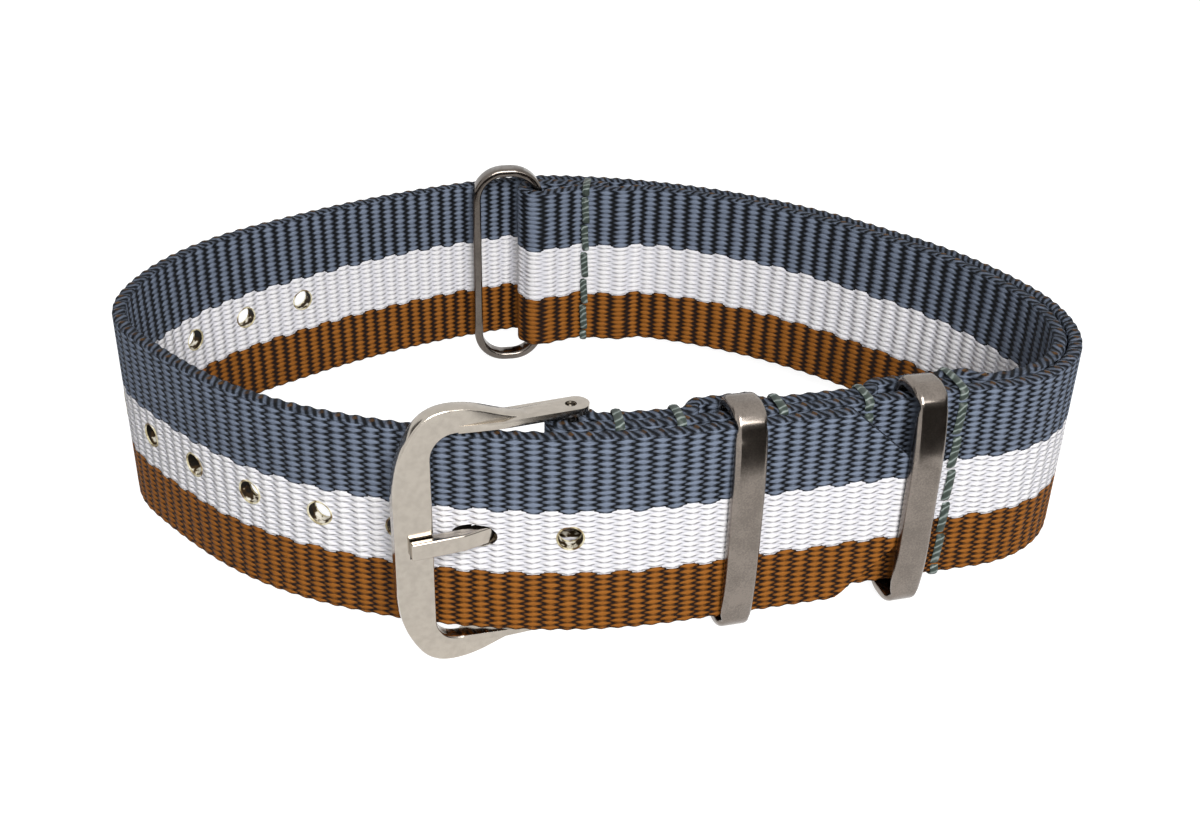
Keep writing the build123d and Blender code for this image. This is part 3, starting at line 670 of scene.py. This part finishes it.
def add(tree, kind, inputs=(), **options):
    """A shader node with its settings and links.

    The kind is a node type, or a pair of that and its settings. An input is a value, a socket, or a node
    whose first output feeds it.
    """
    if isinstance(kind, tuple):
        kind, options = kind
    node = tree.nodes.new(kind)
    for name, value in options.items():
        if name == "stops":
            elements = node.color_ramp.elements
            while len(elements) < len(value):
                elements.new(0.5)
            for element, (place, shade) in zip(elements, value):
                element.position = place
                element.color = linear(shade) if isinstance(shade, str) else shade
        elif name == "steps":
            node.color_ramp.interpolation = "CONSTANT"
        else:
            setattr(node, name, value)
    for socket, value in inputs.items() if isinstance(inputs, dict) else enumerate(inputs):
        if isinstance(value, bpy.types.Node):
            value = value.outputs[0]
        if isinstance(value, bpy.types.NodeSocket):
            tree.links.new(value, node.inputs[socket])
        else:
            node.inputs[socket].default_value = value
    return node


def new_material(name):
    """A material, the function that adds a node to it, and the socket with the place on the object."""
    material = bpy.data.materials.new(name)
    material.use_nodes = True
    material.node_tree.nodes.clear()
    put = partial(add, material.node_tree)
    return material, put, put("ShaderNodeTexCoord").outputs["Object"]


def finished(material, shader):
    add(material.node_tree, "ShaderNodeOutputMaterial", {"Surface": shader})
    return material


def plastic(material, put, shade, rough, shine, bump, index=NYLON_IOR):
    looks = {"Base Color": shade, "Roughness": rough, "IOR": index, "Specular IOR Level": shine}
    return finished(material, put(SURFACE, {**looks, "Normal": bump}))


def metal(material, put, shade, rough, **more):
    looks = {"Base Color": shade, "Metallic": 1.0, "Roughness": rough}
    return finished(material, put(SURFACE, {**looks, **more}))


def darker(shade, share):
    return (*(part * share for part in shade[:3]), 1.0)


def weave_pattern(put, where):
    """The beads of a ribbed weave: column and row numbers, the shapes of grooves and beads as relief, and
    painted shade in the grooves, in the gaps between beads and down each bead's sides.
    """
    webbing = settings()
    uv = put("ShaderNodeUVMap", uv_map="Weave")
    flat = put(SPLIT, [uv])
    place = put(SPLIT, [where])
    wobble = put(NOISE, {"Vector": where, "Scale": 420.0, "Detail": 1.0})
    waver = put(TIMES, [put(MINUS, [wobble, 0.5]), 0.17])
    along = put(PLUS, [flat, waver])
    lift = put(OVER, [put(MINUS, [place.outputs[2], BAND_LOW.z]), webbing.yarn])
    sag = put(NOISE, {"Vector": where, "Scale": 900.0, "Detail": 0.0})
    height = put(PLUS, [lift, put(TIMES, [sag, 0.35])])
    swing = put("ShaderNodeMath", [put(TIMES, [height, 2 * pi])], operation="COSINE")
    wave = put(SMOOTH, {"Value": swing, "From Min": -0.7, "From Max": 0.7, "To Min": -1.0, "To Max": 1.0})
    near = put(ROUND, [along])
    odd = put(REMAINDER, [put(PLUS, [near, 2000.0]), 2.0])
    side = put(MINUS, [put(TIMES, [odd, 2.0]), 1.0])
    inner = put("ShaderNodeMath", [flat.outputs[1], 0.0], operation="LESS_THAN")
    bulge = put(MINUS, [BEAD_BEND, put(TIMES, [inner, 0.4 * BEAD_BEND])])
    bend = put(TIMES, [put(TIMES, [side, wave]), bulge])
    from_groove = put(MINUS, [put(MINUS, [along, near]), bend])
    past = put("ShaderNodeMath", [from_groove, 0.0], operation="GREATER_THAN")
    column = put(PLUS, [put(MINUS, [near, 1.0]), past])
    column_odd = put(REMAINDER, [put(PLUS, [column, 2000.0]), 2.0])
    half_row = put(TIMES, [column_odd, 0.5])
    row_place = put(PLUS, [height, half_row])
    row = put(ROUND, [row_place])
    off_row = put(ABSOLUTE, [put(MINUS, [row_place, row])])
    off_groove = put(ABSOLUTE, [from_groove])
    # painted shade: the grooves between ribs and the gaps between beads are darkened, and each bead is
    # painted lighter at its crown and darker down its sides, which also serves as its relief
    groove_edge = put(PLUS, [put(TIMES, [inner, 0.13]), 0.18])
    groove = put(SMOOTH, {"Value": off_groove, "From Min": 0.04, "From Max": groove_edge})
    groove_slope_shade = put(SMOOTH, {"Value": off_groove, "From Min": 0.0, "From Max": 0.42})
    gap = put(SMOOTH, {"Value": off_row, "From Min": 0.38, "From Max": 0.5})
    gap_shade_strength = put(MINUS, [0.38, put(TIMES, [inner, 0.22])])
    bead = put(MINUS, [1.0, put(TIMES, [gap, gap_shade_strength])])
    bead_slope_shade = put(MINUS, [1.0, put(TIMES, [put(TIMES, [off_row, off_row]), 1.3])])
    level = put(TIMES, [put(MINUS, [row, half_row]), webbing.yarn / BAND_WIDTH])
    bead_place = put(COMBINE, [column, row])
    chance = put("ShaderNodeTexWhiteNoise", {"Vector": bead_place}, noise_dimensions="2D")
    return {
        "flat": flat,
        "place": place,
        "level": level,
        "groove_and_gap_shade": put(TIMES, [groove, bead]),
        "bead_shade_and_relief": put(TIMES, [groove_slope_shade, bead_slope_shade]),
        "chance": chance,
        "column": column,
    }


def selvedge_pattern(put, weave):
    """The bound edge: slanting strands that cross over the edge, with painted shadow between them, and one
    weft loop in each rib.
    """
    across = weave["flat"].outputs[1]
    off_middle = put(ABSOLUTE, [put(MINUS, [weave["place"].outputs[2], MIDDLE])])
    low, high = (BAND_WIDTH / 2 - depth for depth in SELVEDGE_BLEND)
    edge = put(SMOOTH, {"Value": off_middle, "From Min": low, "From Max": high})
    lean = put(TIMES, [across, 1.1])
    slant = put(PLUS, [put(TIMES, [weave["flat"], 2.0]), lean])
    share = put(FRACTION, [slant])
    strand = put(ABSOLUTE, [put(MINUS, [share, 0.5])])
    # painted shadow between the strands; the lit share that is left is also the strands' relief
    shadow = put(SMOOTH, {"Value": strand, "From Min": 0.12, "From Max": 0.42})
    body = put(MINUS, [1.0, shadow])
    turn = put(FRACTION, [weave["flat"]])
    loop_place = put(ABSOLUTE, [put(MINUS, [turn, 0.5])])
    from_middle = put(ABSOLUTE, [put(MINUS, [across, 0.08])])
    reach = put(PLUS, [put(TIMES, [loop_place, 1.3]), from_middle])
    beyond = put(SMOOTH, {"Value": reach, "From Min": 0.2, "From Max": 0.34})
    loop = put(MINUS, [1.0, beyond])
    return edge, body, loop


def woven_nylon():
    """Nylon webbing: ribs of bead-shaped warp floats, half a bead apart, with fine filaments along each; the
    grooves, the gaps between beads and the beads' sides are painted shade.
    """
    webbing = settings()
    material, put, where = new_material("Woven nylon webbing")
    weave = weave_pattern(put, where)
    edge, strand, loop = selvedge_pattern(put, weave)
    # each stripe's lit yarn colour, and its groove colour, which is painted shade
    yarn, gap = (
        put(RAMP, [weave["level"]], stops=list(zip((0.0, *STRIPE_EDGES), colours)), steps=True)
        for colours in (
            (webbing.bottom_yarn, webbing.middle_yarn, webbing.top_yarn),
            (webbing.bottom_groove_shade, webbing.middle_groove_shade, webbing.top_groove_shade),
        )
    )
    rows = put(OVER, [weave["place"].outputs[2], FILAMENT])
    stretch = put(COMBINE, [put(TIMES, [weave["flat"], 1.5]), rows, weave["column"]])
    filament = put(NOISE, {"Vector": stretch, "Scale": 1.0, "Detail": 2.0, "Roughness": 0.65})
    fuzz = put(TIMES, [put(MINUS, [filament, 0.5]), 1.3])
    tone = put(PLUS, [fuzz, put(TIMES, [weave["chance"], 0.2])])
    # painted light and shade: each bead is lighter at its crown and darker towards the grooves and gaps, over
    # the filaments' own tone; on the selvedge the groove colour fills the painted shadow between the strands
    lit = put(PLUS, [put(TIMES, [weave["bead_shade_and_relief"], 0.95]), tone])
    face = put(TIMES, [weave["groove_and_gap_shade"], put(CLAMP, [lit])])
    rim = put(TIMES, [strand, put(CLAMP, [put(PLUS, [tone, 0.42])])])
    amount = put(MIX_VALUES, {"Factor": edge, 2: face, 3: rim})
    base = put(MIX_COLOURS, {0: amount, 6: gap, 7: yarn})
    looped = put(TIMES, [put(TIMES, [edge, loop]), weave["chance"]])
    shade = put(MIX_COLOURS, {0: looped, 6: base.outputs[2], 7: webbing.selvedge_loop})
    relief = put(MIX_VALUES, {"Factor": edge, 2: weave["bead_shade_and_relief"], 3: strand})
    raised = put(PLUS, [relief, put(TIMES, [filament, 0.2])])
    bump = put(BUMP, {"Strength": 0.9, "Distance": 0.2 * MM, "Height": raised})
    rough = put(MINUS, [0.85, put(TIMES, [filament, 0.25])])
    return plastic(material, put, shade.outputs[2], rough, 0.14, bump)


def sealed_nylon():
    """Nylon cut by a hot punch: scorched walls in random blotches, painted lighter where they face up and
    darker where they face sideways or down, as painted light and shade.
    """
    material, put, where = new_material("Scorched nylon")
    scorch = put(NOISE, {"Vector": where, "Scale": 1800.0, "Detail": 3.0})
    facing = put(SPLIT, [put("ShaderNodeNewGeometry").outputs["Normal"]])
    blotch = put(TIMES, [put(MINUS, [scorch, 0.5]), 2.4])
    # painted light and shade: walls that face up are lighter and the others darker, over the scorch's random
    # blotches
    painted_light_and_scorch = put(PLUS, [put(TIMES, [facing.outputs[2], 0.7]), blotch])
    stops = [(0.1, "#0f0a05"), (0.62, "#3c2c17"), (0.74, "#cfc6b2"), (0.9, "#ebe6da")]
    shade = put(RAMP, [painted_light_and_scorch], stops=stops)
    bump = put(BUMP, {"Strength": 0.6, "Distance": 0.08 * MM, "Height": scorch})
    return plastic(material, put, shade, 0.6, 0.15, bump)


def melted_lip():
    """The cream lip of melted nylon round a punched hole, browned in places."""
    material, put, where = new_material("Melted nylon lip")
    scorch = put(NOISE, {"Vector": where, "Scale": 1300.0, "Detail": 3.0})
    shade = put(RAMP, [scorch], stops=[(0.38, "#5b4425"), (0.5, "#c3b791"), (0.64, "#e6dfc6")])
    bump = put(BUMP, {"Strength": 0.4, "Distance": 0.05 * MM, "Height": scorch})
    return plastic(material, put, shade, 0.5, 0.3, bump)


def waxed_thread():
    """Waxed polyester thread: two plies twisted, a soft wax shine; the twist is painted darker in its grooves
    as shade, with small painted glints on its crests.
    """
    material, put, where = new_material("Waxed polyester thread")
    turn = put("ShaderNodeMapping", {"Vector": where, "Rotation": (0.6, 0.5, 0.0)})
    waves = {"Vector": turn, "Scale": 620.0, "Distortion": 6.0, "Detail": 2.0}
    twist = put("ShaderNodeTexWave", waves, wave_type="BANDS", bands_direction="Z")
    thread = settings("sewing").thread_colour
    # painted shade in the twist's grooves and a painted highlight on its crests
    shade = put(RAMP, [twist], stops=[(0.15, darker(thread, 0.6)), (0.75, thread), (0.97, "#87918d")])
    bump = put(BUMP, {"Strength": 0.5, "Distance": 0.05 * MM, "Height": twist})
    return plastic(material, put, shade, 0.45, 0.35, bump, POLYESTER_IOR)


def polished_steel():
    """Stainless steel, tumbled and polished: clear reflections over a faint mottle, with a few fine pits."""
    material, put, where = new_material("Polished stainless steel")
    # the mottle's patches are about half a millimetre across
    mottle = put(NOISE, {"Vector": where, "Scale": 1500.0, "Detail": 3.0})
    cloud = put(NOISE, {"Vector": where, "Scale": 260.0, "Detail": 2.0})
    steel = settings("steel").polished
    shade = put(RAMP, [mottle], stops=[(0.35, darker(steel, 0.9)), (0.62, steel)])
    rough = put(RANGE, {"Value": cloud, "To Min": 0.12, "To Max": 0.22})
    bump = put(BUMP, {"Strength": 0.1, "Distance": 0.02 * MM, "Height": mottle})
    return metal(material, put, shade, rough, Normal=bump)


def satin_steel(name="Satin stainless steel", shine=0.17, depth=1.0):
    """Stainless steel strip, tumbled to a satin: a fine grain that blurs what it reflects."""
    material, put, where = new_material(name)
    # tumbling marks are about 0.1 mm across
    grain = put(NOISE, {"Vector": where, "Scale": 7000.0, "Detail": 3.0})
    cloud = put(NOISE, {"Vector": where, "Scale": 500.0, "Detail": 2.0})
    # a depth under 1 darkens the whole colour, as a painted dark reflection
    steel = darker(settings("steel").satin, depth)
    patches = put(PLUS, [put(TIMES, [grain, 0.5]), put(TIMES, [cloud, 0.5])])
    shade = put(RAMP, [patches], stops=[(0.4, darker(steel, 0.74)), (0.58, steel)])
    rough = put(RANGE, {"Value": cloud, "To Min": shine, "To Max": shine + 0.08})
    bump = put(BUMP, {"Strength": 0.12, "Distance": 0.02 * MM, "Height": grain})
    return metal(material, put, shade, rough, Normal=bump)


def painted_dark_ring_steel():
    """The ring keeper's steel: the sliding keepers' satin steel, glossier, with its colour darkened as a
    painted dark reflection.
    """
    return satin_steel("Smoked stainless steel", 0.1, 0.62)


def drawn_wire():
    """Spring wire, drawn through a die: streaks along the wire, a dull shine."""
    material, put, where = new_material("Drawn spring wire")
    streak = put(NOISE, {"Vector": where, "Scale": 6000.0, "Detail": 2.0})
    wire = settings("steel").wire
    shade = put(RAMP, [streak], stops=[(0.35, darker(wire, 0.6)), (0.65, wire)])
    rough = put(RANGE, {"Value": streak, "To Min": 0.25, "To Max": 0.4})
    return metal(material, put, shade, rough)


def material_named(name, make):
    return bpy.data.materials.get(name) or make()


# ---- the pieces ----


def woven_strip(name, steps, rib_pitch, outer_side):
    """A flat strip of webbing as long as the steps, its cut ends sealed with heat."""
    band = flat_strip(name, run_of(steps), rib_pitch, outer_side)
    sealed = material_named("Scorched nylon", sealed_nylon)
    clear_materials(band, material_named("Woven nylon webbing", woven_nylon), sealed)
    for face in band.data.polygons:
        if abs(face.normal.x) > END_FACE_NORMAL:
            face.material_index = 1
    return band


class STRAP_OT_long_band(bpy.types.Operator):
    """Weaves the long band, punches its holes and folds it round the spring bar"""

    bl_idname = "strap.long_band"
    bl_label = "Long Band"

    def execute(self, context):
        route = Route()
        start, steps = route.long_band()
        band = woven_strip("long_band", steps, settings().rib, 1)
        woven, sealed = band.data.materials
        cut(band, self.cutters(route), sealed)
        cut(band, self.tail_wedges(), woven)
        band = join([band] + self.rims(route, material_named("Melted nylon lip", melted_lip)))
        bend_along(band, start, steps)
        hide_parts("main_band")
        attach(band, "strap")
        return {"FINISHED"}

    def hole_places(self, route):
        counts = [count for count in range(-1, HOLES_PAST_THE_USED_ONE + 1) if count]
        return [route.to_the_pin() + USED_HOLE + count * HOLE_PITCH for count in counts]

    def cutters(self, route):
        webbing = settings()
        cutters = []
        for place in self.hole_places(route):
            sizes = {"vertices": 32, "radius": webbing.hole / 2, "depth": 3 * webbing.thickness}
            where = {"location": (place, 0, 0), "rotation": (pi / 2, 0, 0)}
            cutters.append(primitive("cylinder", "punch", **sizes, **where))
        cutters.append(self.slanted_hole(route))
        fold = route.to_the_fold()
        low, high, half = fold - SLOT_BEFORE_FOLD, fold + SLOT_PAST_FOLD, TANG_OPENING / 2
        deep = 2 * webbing.thickness
        cutters.append(prism("slot", [(low, -half), (high, -half), (high, half), (low, half)], -deep, deep))
        return cutters

    def slanted_hole(self, route):
        """The hole in use, drawn out along the tang that passes through it."""
        radius, depth = TANG_OPENING / 2 + TANG_HOLE_ROOM, 4 * settings().thickness
        hole = primitive("cylinder", "slanted_hole", vertices=32, radius=radius, depth=depth)
        place = Matrix.Translation((route.to_the_pin() + USED_HOLE, 0, 0))
        turn = Matrix.Rotation(radians(TANG_SLANT), 4, "Z") @ Matrix.Rotation(radians(90), 4, "Y")
        hole.data.transform(place @ turn @ Matrix.Diagonal((1, TANG_HOLE_STRETCH, 1, 1)))
        return hole

    def tail_wedges(self):
        """Wedges that leave the end of the tail pointed, with a rounded nose."""
        half = BAND_WIDTH / 2
        nose = half * NOSE_HALF_SHARE
        back = nose * NOSE_ROUNDNESS_SHARE
        wedges = []
        for side in (1, -1):
            outline = [(-MM, 0), (0, 0)] + [(back * deep, side * nose * out) for deep, out in NOSE_CURVE]
            outline += [(TAIL_TAPER, side * high) for high in (half, half + MM)] + [(-MM, side * (half + MM))]
            wedges.append(prism("wedge", outline, -MM, MM))
        return wedges

    def rims(self, route, lip):
        """The melted lip that the hot punch leaves round each hole, on both faces."""
        webbing = settings()
        rims = []
        for place in self.hole_places(route):
            for side in (1, -1):
                rim = primitive(
                    "torus",
                    "rim",
                    major_segments=28,
                    minor_segments=8,
                    major_radius=webbing.hole / 2 + LIP_SPREAD,
                    minor_radius=LIP_RADIUS,
                    location=(place, side * (webbing.thickness / 2 - LIP_SINK), 0),
                    rotation=(pi / 2, 0, 0),
                )
                clear_materials(rim, lip)
                settle(rim)
                rims.append(rim)
        return rims


class STRAP_OT_short_band(bpy.types.Operator):
    """Weaves the short band and folds it round the ring keeper"""

    bl_idname = "strap.short_band"
    bl_label = "Short Band"

    def execute(self, context):
        start, steps = Route().short_band()
        band = woven_strip("short_band_webbing", steps, settings().short_rib, -1)
        bend_along(band, start, steps)
        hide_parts("short_band")
        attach(band, "strap")
        return {"FINISHED"}


class STRAP_OT_stitching(bpy.types.Operator):
    """Sews the six seams, each thread one stitch at a time"""

    bl_idname = "strap.stitching"
    bl_label = "Stitching"

    def execute(self, context):
        thread = material_named("Waxed polyester thread", waxed_thread)
        for name, (place, heading, depth) in Route().seams().items():
            for part, side in (("needle", 1), ("bobbin", -1)):
                line = self.sew(place, heading, depth, side)
                line.name = name + "_" + part + "_stitches"
                clear_materials(line, thread)
                smooth(line, 60)
                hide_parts(name + "_" + part + "_thread")
                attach(line, "strap")
        return {"FINISHED"}

    def thread_tube(self, points):
        """A flattened thread along the points, given as (off the face, height) places."""
        sewing = settings("sewing")
        start_piece()
        bpy.ops.curve.primitive_bezier_curve_add()
        line = bpy.context.object.data
        line.splines.clear()
        spline = line.splines.new("NURBS")
        spline.points.add(len(points) - 1)
        for point, (out, height) in zip(spline.points, points):
            point.co = (out, 0, height, 1)
        spline.use_endpoint_u = True
        spline.order_u = 3
        line.resolution_u = 4
        line.bevel_depth = sewing.height / 2
        line.bevel_resolution = 2
        line.use_fill_caps = True
        bpy.ops.object.convert(target="MESH")
        tube = bpy.context.object
        tube.data.transform(Matrix.Diagonal((1, sewing.thread / sewing.height, 1, 1)))
        return tube

    def sew(self, place, heading, depth, side):
        """One thread of a seam, from the lowest needle hole to the highest; the needle thread also goes over
        both selvedges.
        """
        sewing = settings("sewing")
        first = STITCH_INSET - BAND_WIDTH / 2
        pitch = (BAND_WIDTH - 2 * STITCH_INSET) / STITCHES
        face = sewing.height * THREAD_STAND_OFF
        sunk = -STITCH_SINK
        stitch = self.thread_tube([
            (sunk, 0.06 * pitch), (face * 0.2, 0.05 * pitch), (face, 0.16 * pitch), (face * 1.1, pitch / 2),
            (face, 0.84 * pitch), (face * 0.2, 0.95 * pitch), (sunk, 0.94 * pitch),
        ])
        slant = Matrix(((1, 0, 0, 0), (0, 1, sewing.slant / pitch, 0), (0, 0, 1, 0), (0, 0, 0, 1)))
        stitch.data.transform(Matrix.Translation((0, -sewing.slant / 2, 0)) @ slant)
        pieces = []
        for count in range(STITCHES):
            pieces.append(duplicate(stitch))
            pieces[-1].data.transform(Matrix.Translation((depth, 0, first + count * pitch)))
        bpy.data.objects.remove(stitch)
        if side > 0:
            pieces += [self.edge_loop(depth, -first, end) for end in (1, -1)]
        line = join(pieces)
        out = -left_of(heading) * side
        along = direction(heading)
        level = (0, 0, 1, MIDDLE)
        turn = Matrix(((out.x, along.x, 0, place.x), (out.y, along.y, 0, place.y), level, (0, 0, 0, 1)))
        line.data.transform(turn)
        if turn.determinant() < 0:
            line.data.flip_normals()
        return line

    def edge_loop(self, depth, low, end):
        """The last stitch's loop over the selvedge, from one face to the other."""
        face = settings("sewing").height * THREAD_STAND_OFF
        rim = BAND_WIDTH / 2 + face * 0.6
        near = [(depth - LOOP_SINK, low), (depth + face, low + LOOP_START), (depth + face, rim)]
        far = [(-out, height) for out, height in reversed(near)]
        return self.thread_tube([(out, height * end) for out, height in near + [(0, rim + face * 0.5)] + far])


class STRAP_OT_buckle(bpy.types.Operator):
    """Finishes the buckle's frame and tang, the spring bar and its coil"""

    bl_idname = "strap.buckle"
    bl_label = "Buckle and Spring Bar"

    def execute(self, context):
        steel = material_named("Polished stainless steel", polished_steel)
        polished_copy("buckle_frame", "buckle", steel, FRAME_ROUNDING)
        polished_copy("buckle_tang", "tang", steel, TANG_ROUNDING)
        finish_node("spring_bar_tube", steel)
        wire = material_named("Drawn spring wire", drawn_wire)
        # the tips get the dark wire finish as painted shade, so that the frame's ear holes read dark
        for name in ("spring_bar_tip_upper", "spring_bar_tip_lower"):
            finish_node(name, wire)
        upper = polished_copy("spring_bar_spring", "spring_bar", wire, 0, "spring_bar_coil_upper")
        lower = duplicate(upper)
        lower.name = "spring_bar_coil_lower"
        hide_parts("spring_bar_spring")
        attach(lower, "spring_bar")
        self.halve(upper, "upper_tip_press", 1)
        self.halve(lower, "lower_tip_press", -1)
        return {"FINISHED"}

    def halve(self, coil, joint, end):
        """Keeps the half of the spring bar's coil on one side of the band's middle."""
        with editing(coil):
            plane = {"plane_co": (0, 0, MIDDLE), "plane_no": (0, 0, end)}
            bpy.ops.mesh.bisect(**plane, use_fill=True, clear_inner=True)
        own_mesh(coil)


class STRAP_OT_keepers(bpy.types.Operator):
    """Finishes the two sliding keepers and the ring keeper"""

    bl_idname = "strap.keepers"
    bl_label = "Keepers"

    def execute(self, context):
        steel = material_named("Satin stainless steel", satin_steel)
        polished_copy("keeper_near_buckle", "first_keeper", steel, 0)
        polished_copy("keeper_at_tail", "second_keeper", steel, 0)
        # the ring keeper's darker steel is a painted dark reflection
        polished_copy("ring_keeper", "ring", material_named("Smoked stainless steel", painted_dark_ring_steel), 0)
        return {"FINISHED"}


def polished_copy(name, body, material, rounding, piece=None):
    """A copy of a carried-over piece with one closed, smooth surface, and its sharp edges rounded."""
    copy = duplicate(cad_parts[name])
    copy.name = piece or name + "_polished"
    with editing(copy):
        bpy.ops.mesh.remove_doubles(threshold=WELD)
        bpy.ops.mesh.dissolve_limited(angle_limit=radians(FLAT_ANGLE))
    if rounding:
        rounded = copy.modifiers.new("Rounding", "BEVEL")
        rounded.width = rounding
        rounded.segments = 4
        rounded.limit_method = "ANGLE"
        rounded.angle_limit = radians(SHARP_ANGLE)
        apply_modifiers(copy)
    smooth(copy, 40)
    clear_materials(copy, material)
    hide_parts(name)
    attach(copy, body)
    return copy


def finish_node(name, material):
    """Gives a carried-over piece its finish."""
    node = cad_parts[name]
    for slot in node.material_slots:
        slot.material = material
    if not node.material_slots:
        node.data.materials.append(material)


class STRAP_OT_studio(bpy.types.Operator):
    """Sets up the floor, the lamps, the world and the camera"""

    bl_idname = "strap.studio"
    bl_label = "Studio"

    def execute(self, context):
        self.lay_floor()
        self.light_world(context.scene)
        self.hang_lamps()
        self.stand_dark_cards()
        self.place_camera(context.scene)
        context.scene.view_settings.view_transform = "Standard"
        return {"FINISHED"}

    def lay_floor(self):
        floor = primitive("plane", "floor", size=BIG)
        material, put, where = new_material("White paper floor")
        fibre = put(NOISE, {"Vector": where, "Scale": 900.0})
        shade = put(RAMP, [fibre], stops=[(0.3, settings("studio").floor), (0.7, "#a4a4a4")])
        paper = put(MATTE, {"Color": shade, "Roughness": 0.5})
        ray = put(RAY)
        seen = put(TIMES, [ray.outputs["Is Camera Ray"], 0.92])
        mirrored = put(TIMES, [ray.outputs["Is Glossy Ray"], 0.85])
        glow = put("ShaderNodeEmission", {"Strength": put(PLUS, [seen, mirrored])})
        clear_materials(floor, finished(material, put("ShaderNodeAddShader", [paper, glow])))

    def light_world(self, scene):
        world = bpy.data.worlds.new("Soft white room")
        scene.world = world
        world.use_nodes = True
        world.node_tree.nodes.clear()
        put = partial(add, world.node_tree)
        ray = put(RAY)
        seen = put(LARGER, [ray.outputs["Is Camera Ray"], ray.outputs["Is Transmission Ray"]])
        seen = put(LARGER, [seen, ray.outputs["Is Glossy Ray"]])
        lit = put(BACKGROUND, {"Color": linear("#ffffff"), "Strength": settings("studio").world})
        white = put(BACKGROUND, {"Color": linear("#ffffff"), "Strength": 1.0})
        put("ShaderNodeOutputWorld", {"Surface": put("ShaderNodeMixShader", [seen, lit, white])})

    def hang_lamps(self):
        for name, (place, size, power) in LAMPS.items():
            start_piece()
            bpy.ops.object.light_add(type="AREA", location=place)
            lamp = bpy.context.object
            lamp.name = name
            lamp.data.shape = "SQUARE"
            lamp.data.size = size
            lamp.data.energy = getattr(settings("studio"), power)
            lamp.rotation_euler = (Vector((0, 0, MIDDLE)) - Vector(place)).to_track_quat("-Z", "Y").to_euler()

    def stand_dark_cards(self):
        """A low bent card at the front right and a flat one at the left, which the camera doesn't see."""
        card = primitive("cylinder", "dark_card", end_fill_type="NOTHING", **BENT_CARD)
        with editing(card):
            bpy.ops.mesh.bisect(plane_co=(0, BENT_CARD_BACK, 0), plane_no=(0, 1, 0), clear_outer=True)
            bpy.ops.mesh.select_all(action="SELECT")
            bpy.ops.mesh.bisect(plane_co=(BENT_CARD_LEFT, 0, 0), plane_no=(-1, 0, 0), clear_outer=True)
        card = join([card, primitive("plane", "left_card", **LEFT_CARD)])
        settle(card)
        material, put, where = new_material("Grey felt card")
        pile = put(NOISE, {"Vector": where, "Scale": 600.0})
        shade = put(RAMP, [pile], stops=[(0.3, "#716e6b"), (0.7, "#7f7b78")])
        clear_materials(card, finished(material, put(MATTE, {"Color": shade})))
        for ray in ("camera", "diffuse", "shadow", "transmission"):
            setattr(card, "visible_" + ray, False)

    def place_camera(self, scene):
        studio = settings("studio")
        target = Vector((*(Route().stack_end + VIEW_TARGET), MIDDLE))
        forward = Vector((0, cos(studio.elevation), -sin(studio.elevation)))
        right = Vector((1, 0, 0))
        up = Vector((0, sin(studio.elevation), cos(studio.elevation)))
        side = right * cos(studio.roll) + up * sin(studio.roll)
        top = up * cos(studio.roll) - right * sin(studio.roll)
        place = target - forward * studio.distance
        data = bpy.data.cameras.new("Camera")
        data.lens = studio.lens
        data.sensor_width = 36.0
        data.sensor_fit = "HORIZONTAL"
        data.clip_start = 0.005
        data.clip_end = 2 * BIG
        camera = bpy.data.objects.new("Camera", data)
        scene.collection.objects.link(camera)
        turn = Matrix((side, top, -forward)).transposed().to_4x4()
        camera.matrix_world = Matrix.Translation(place) @ turn
        scene.camera = camera


class STRAP_PT_panel(bpy.types.Panel):
    """Lists the strap's pieces in the sidebar"""

    bl_label = "Watch Strap"
    bl_idname = "STRAP_PT_panel"
    bl_space_type = "VIEW_3D"
    bl_region_type = "UI"
    bl_category = "Strap"

    def draw(self, context):
        for operator in OPERATORS:
            self.layout.operator(operator.bl_idname)
        for group in GROUPS:
            values = getattr(context.scene, group)
            box = self.layout.box()
            for name in values.__annotations__:
                box.prop(values, name)


OPERATORS = (
    STRAP_OT_long_band,
    STRAP_OT_short_band,
    STRAP_OT_stitching,
    STRAP_OT_buckle,
    STRAP_OT_keepers,
    STRAP_OT_studio,
)
GROUPS = {
    "strap_webbing": StrapWebbing,
    "strap_sewing": StrapSewing,
    "strap_steel": StrapSteel,
    "strap_studio": StrapStudio,
}


def register():
    for name, group in GROUPS.items():
        bpy.utils.register_class(group)
        setattr(bpy.types.Scene, name, PointerProperty(type=group))
    for operator in OPERATORS:
        bpy.utils.register_class(operator)
    bpy.utils.register_class(STRAP_PT_panel)


def unregister():
    bpy.utils.unregister_class(STRAP_PT_panel)
    for operator in reversed(OPERATORS):
        bpy.utils.unregister_class(operator)
    for name, group in reversed(GROUPS.items()):
        delattr(bpy.types.Scene, name)
        bpy.utils.unregister_class(group)


def main():
    register()
    bpy.ops.strap.long_band()
    bpy.ops.strap.short_band()
    bpy.ops.strap.stitching()
    bpy.ops.strap.buckle()
    bpy.ops.strap.keepers()
    bpy.ops.strap.studio()


if __name__ == "__main__":
    main()
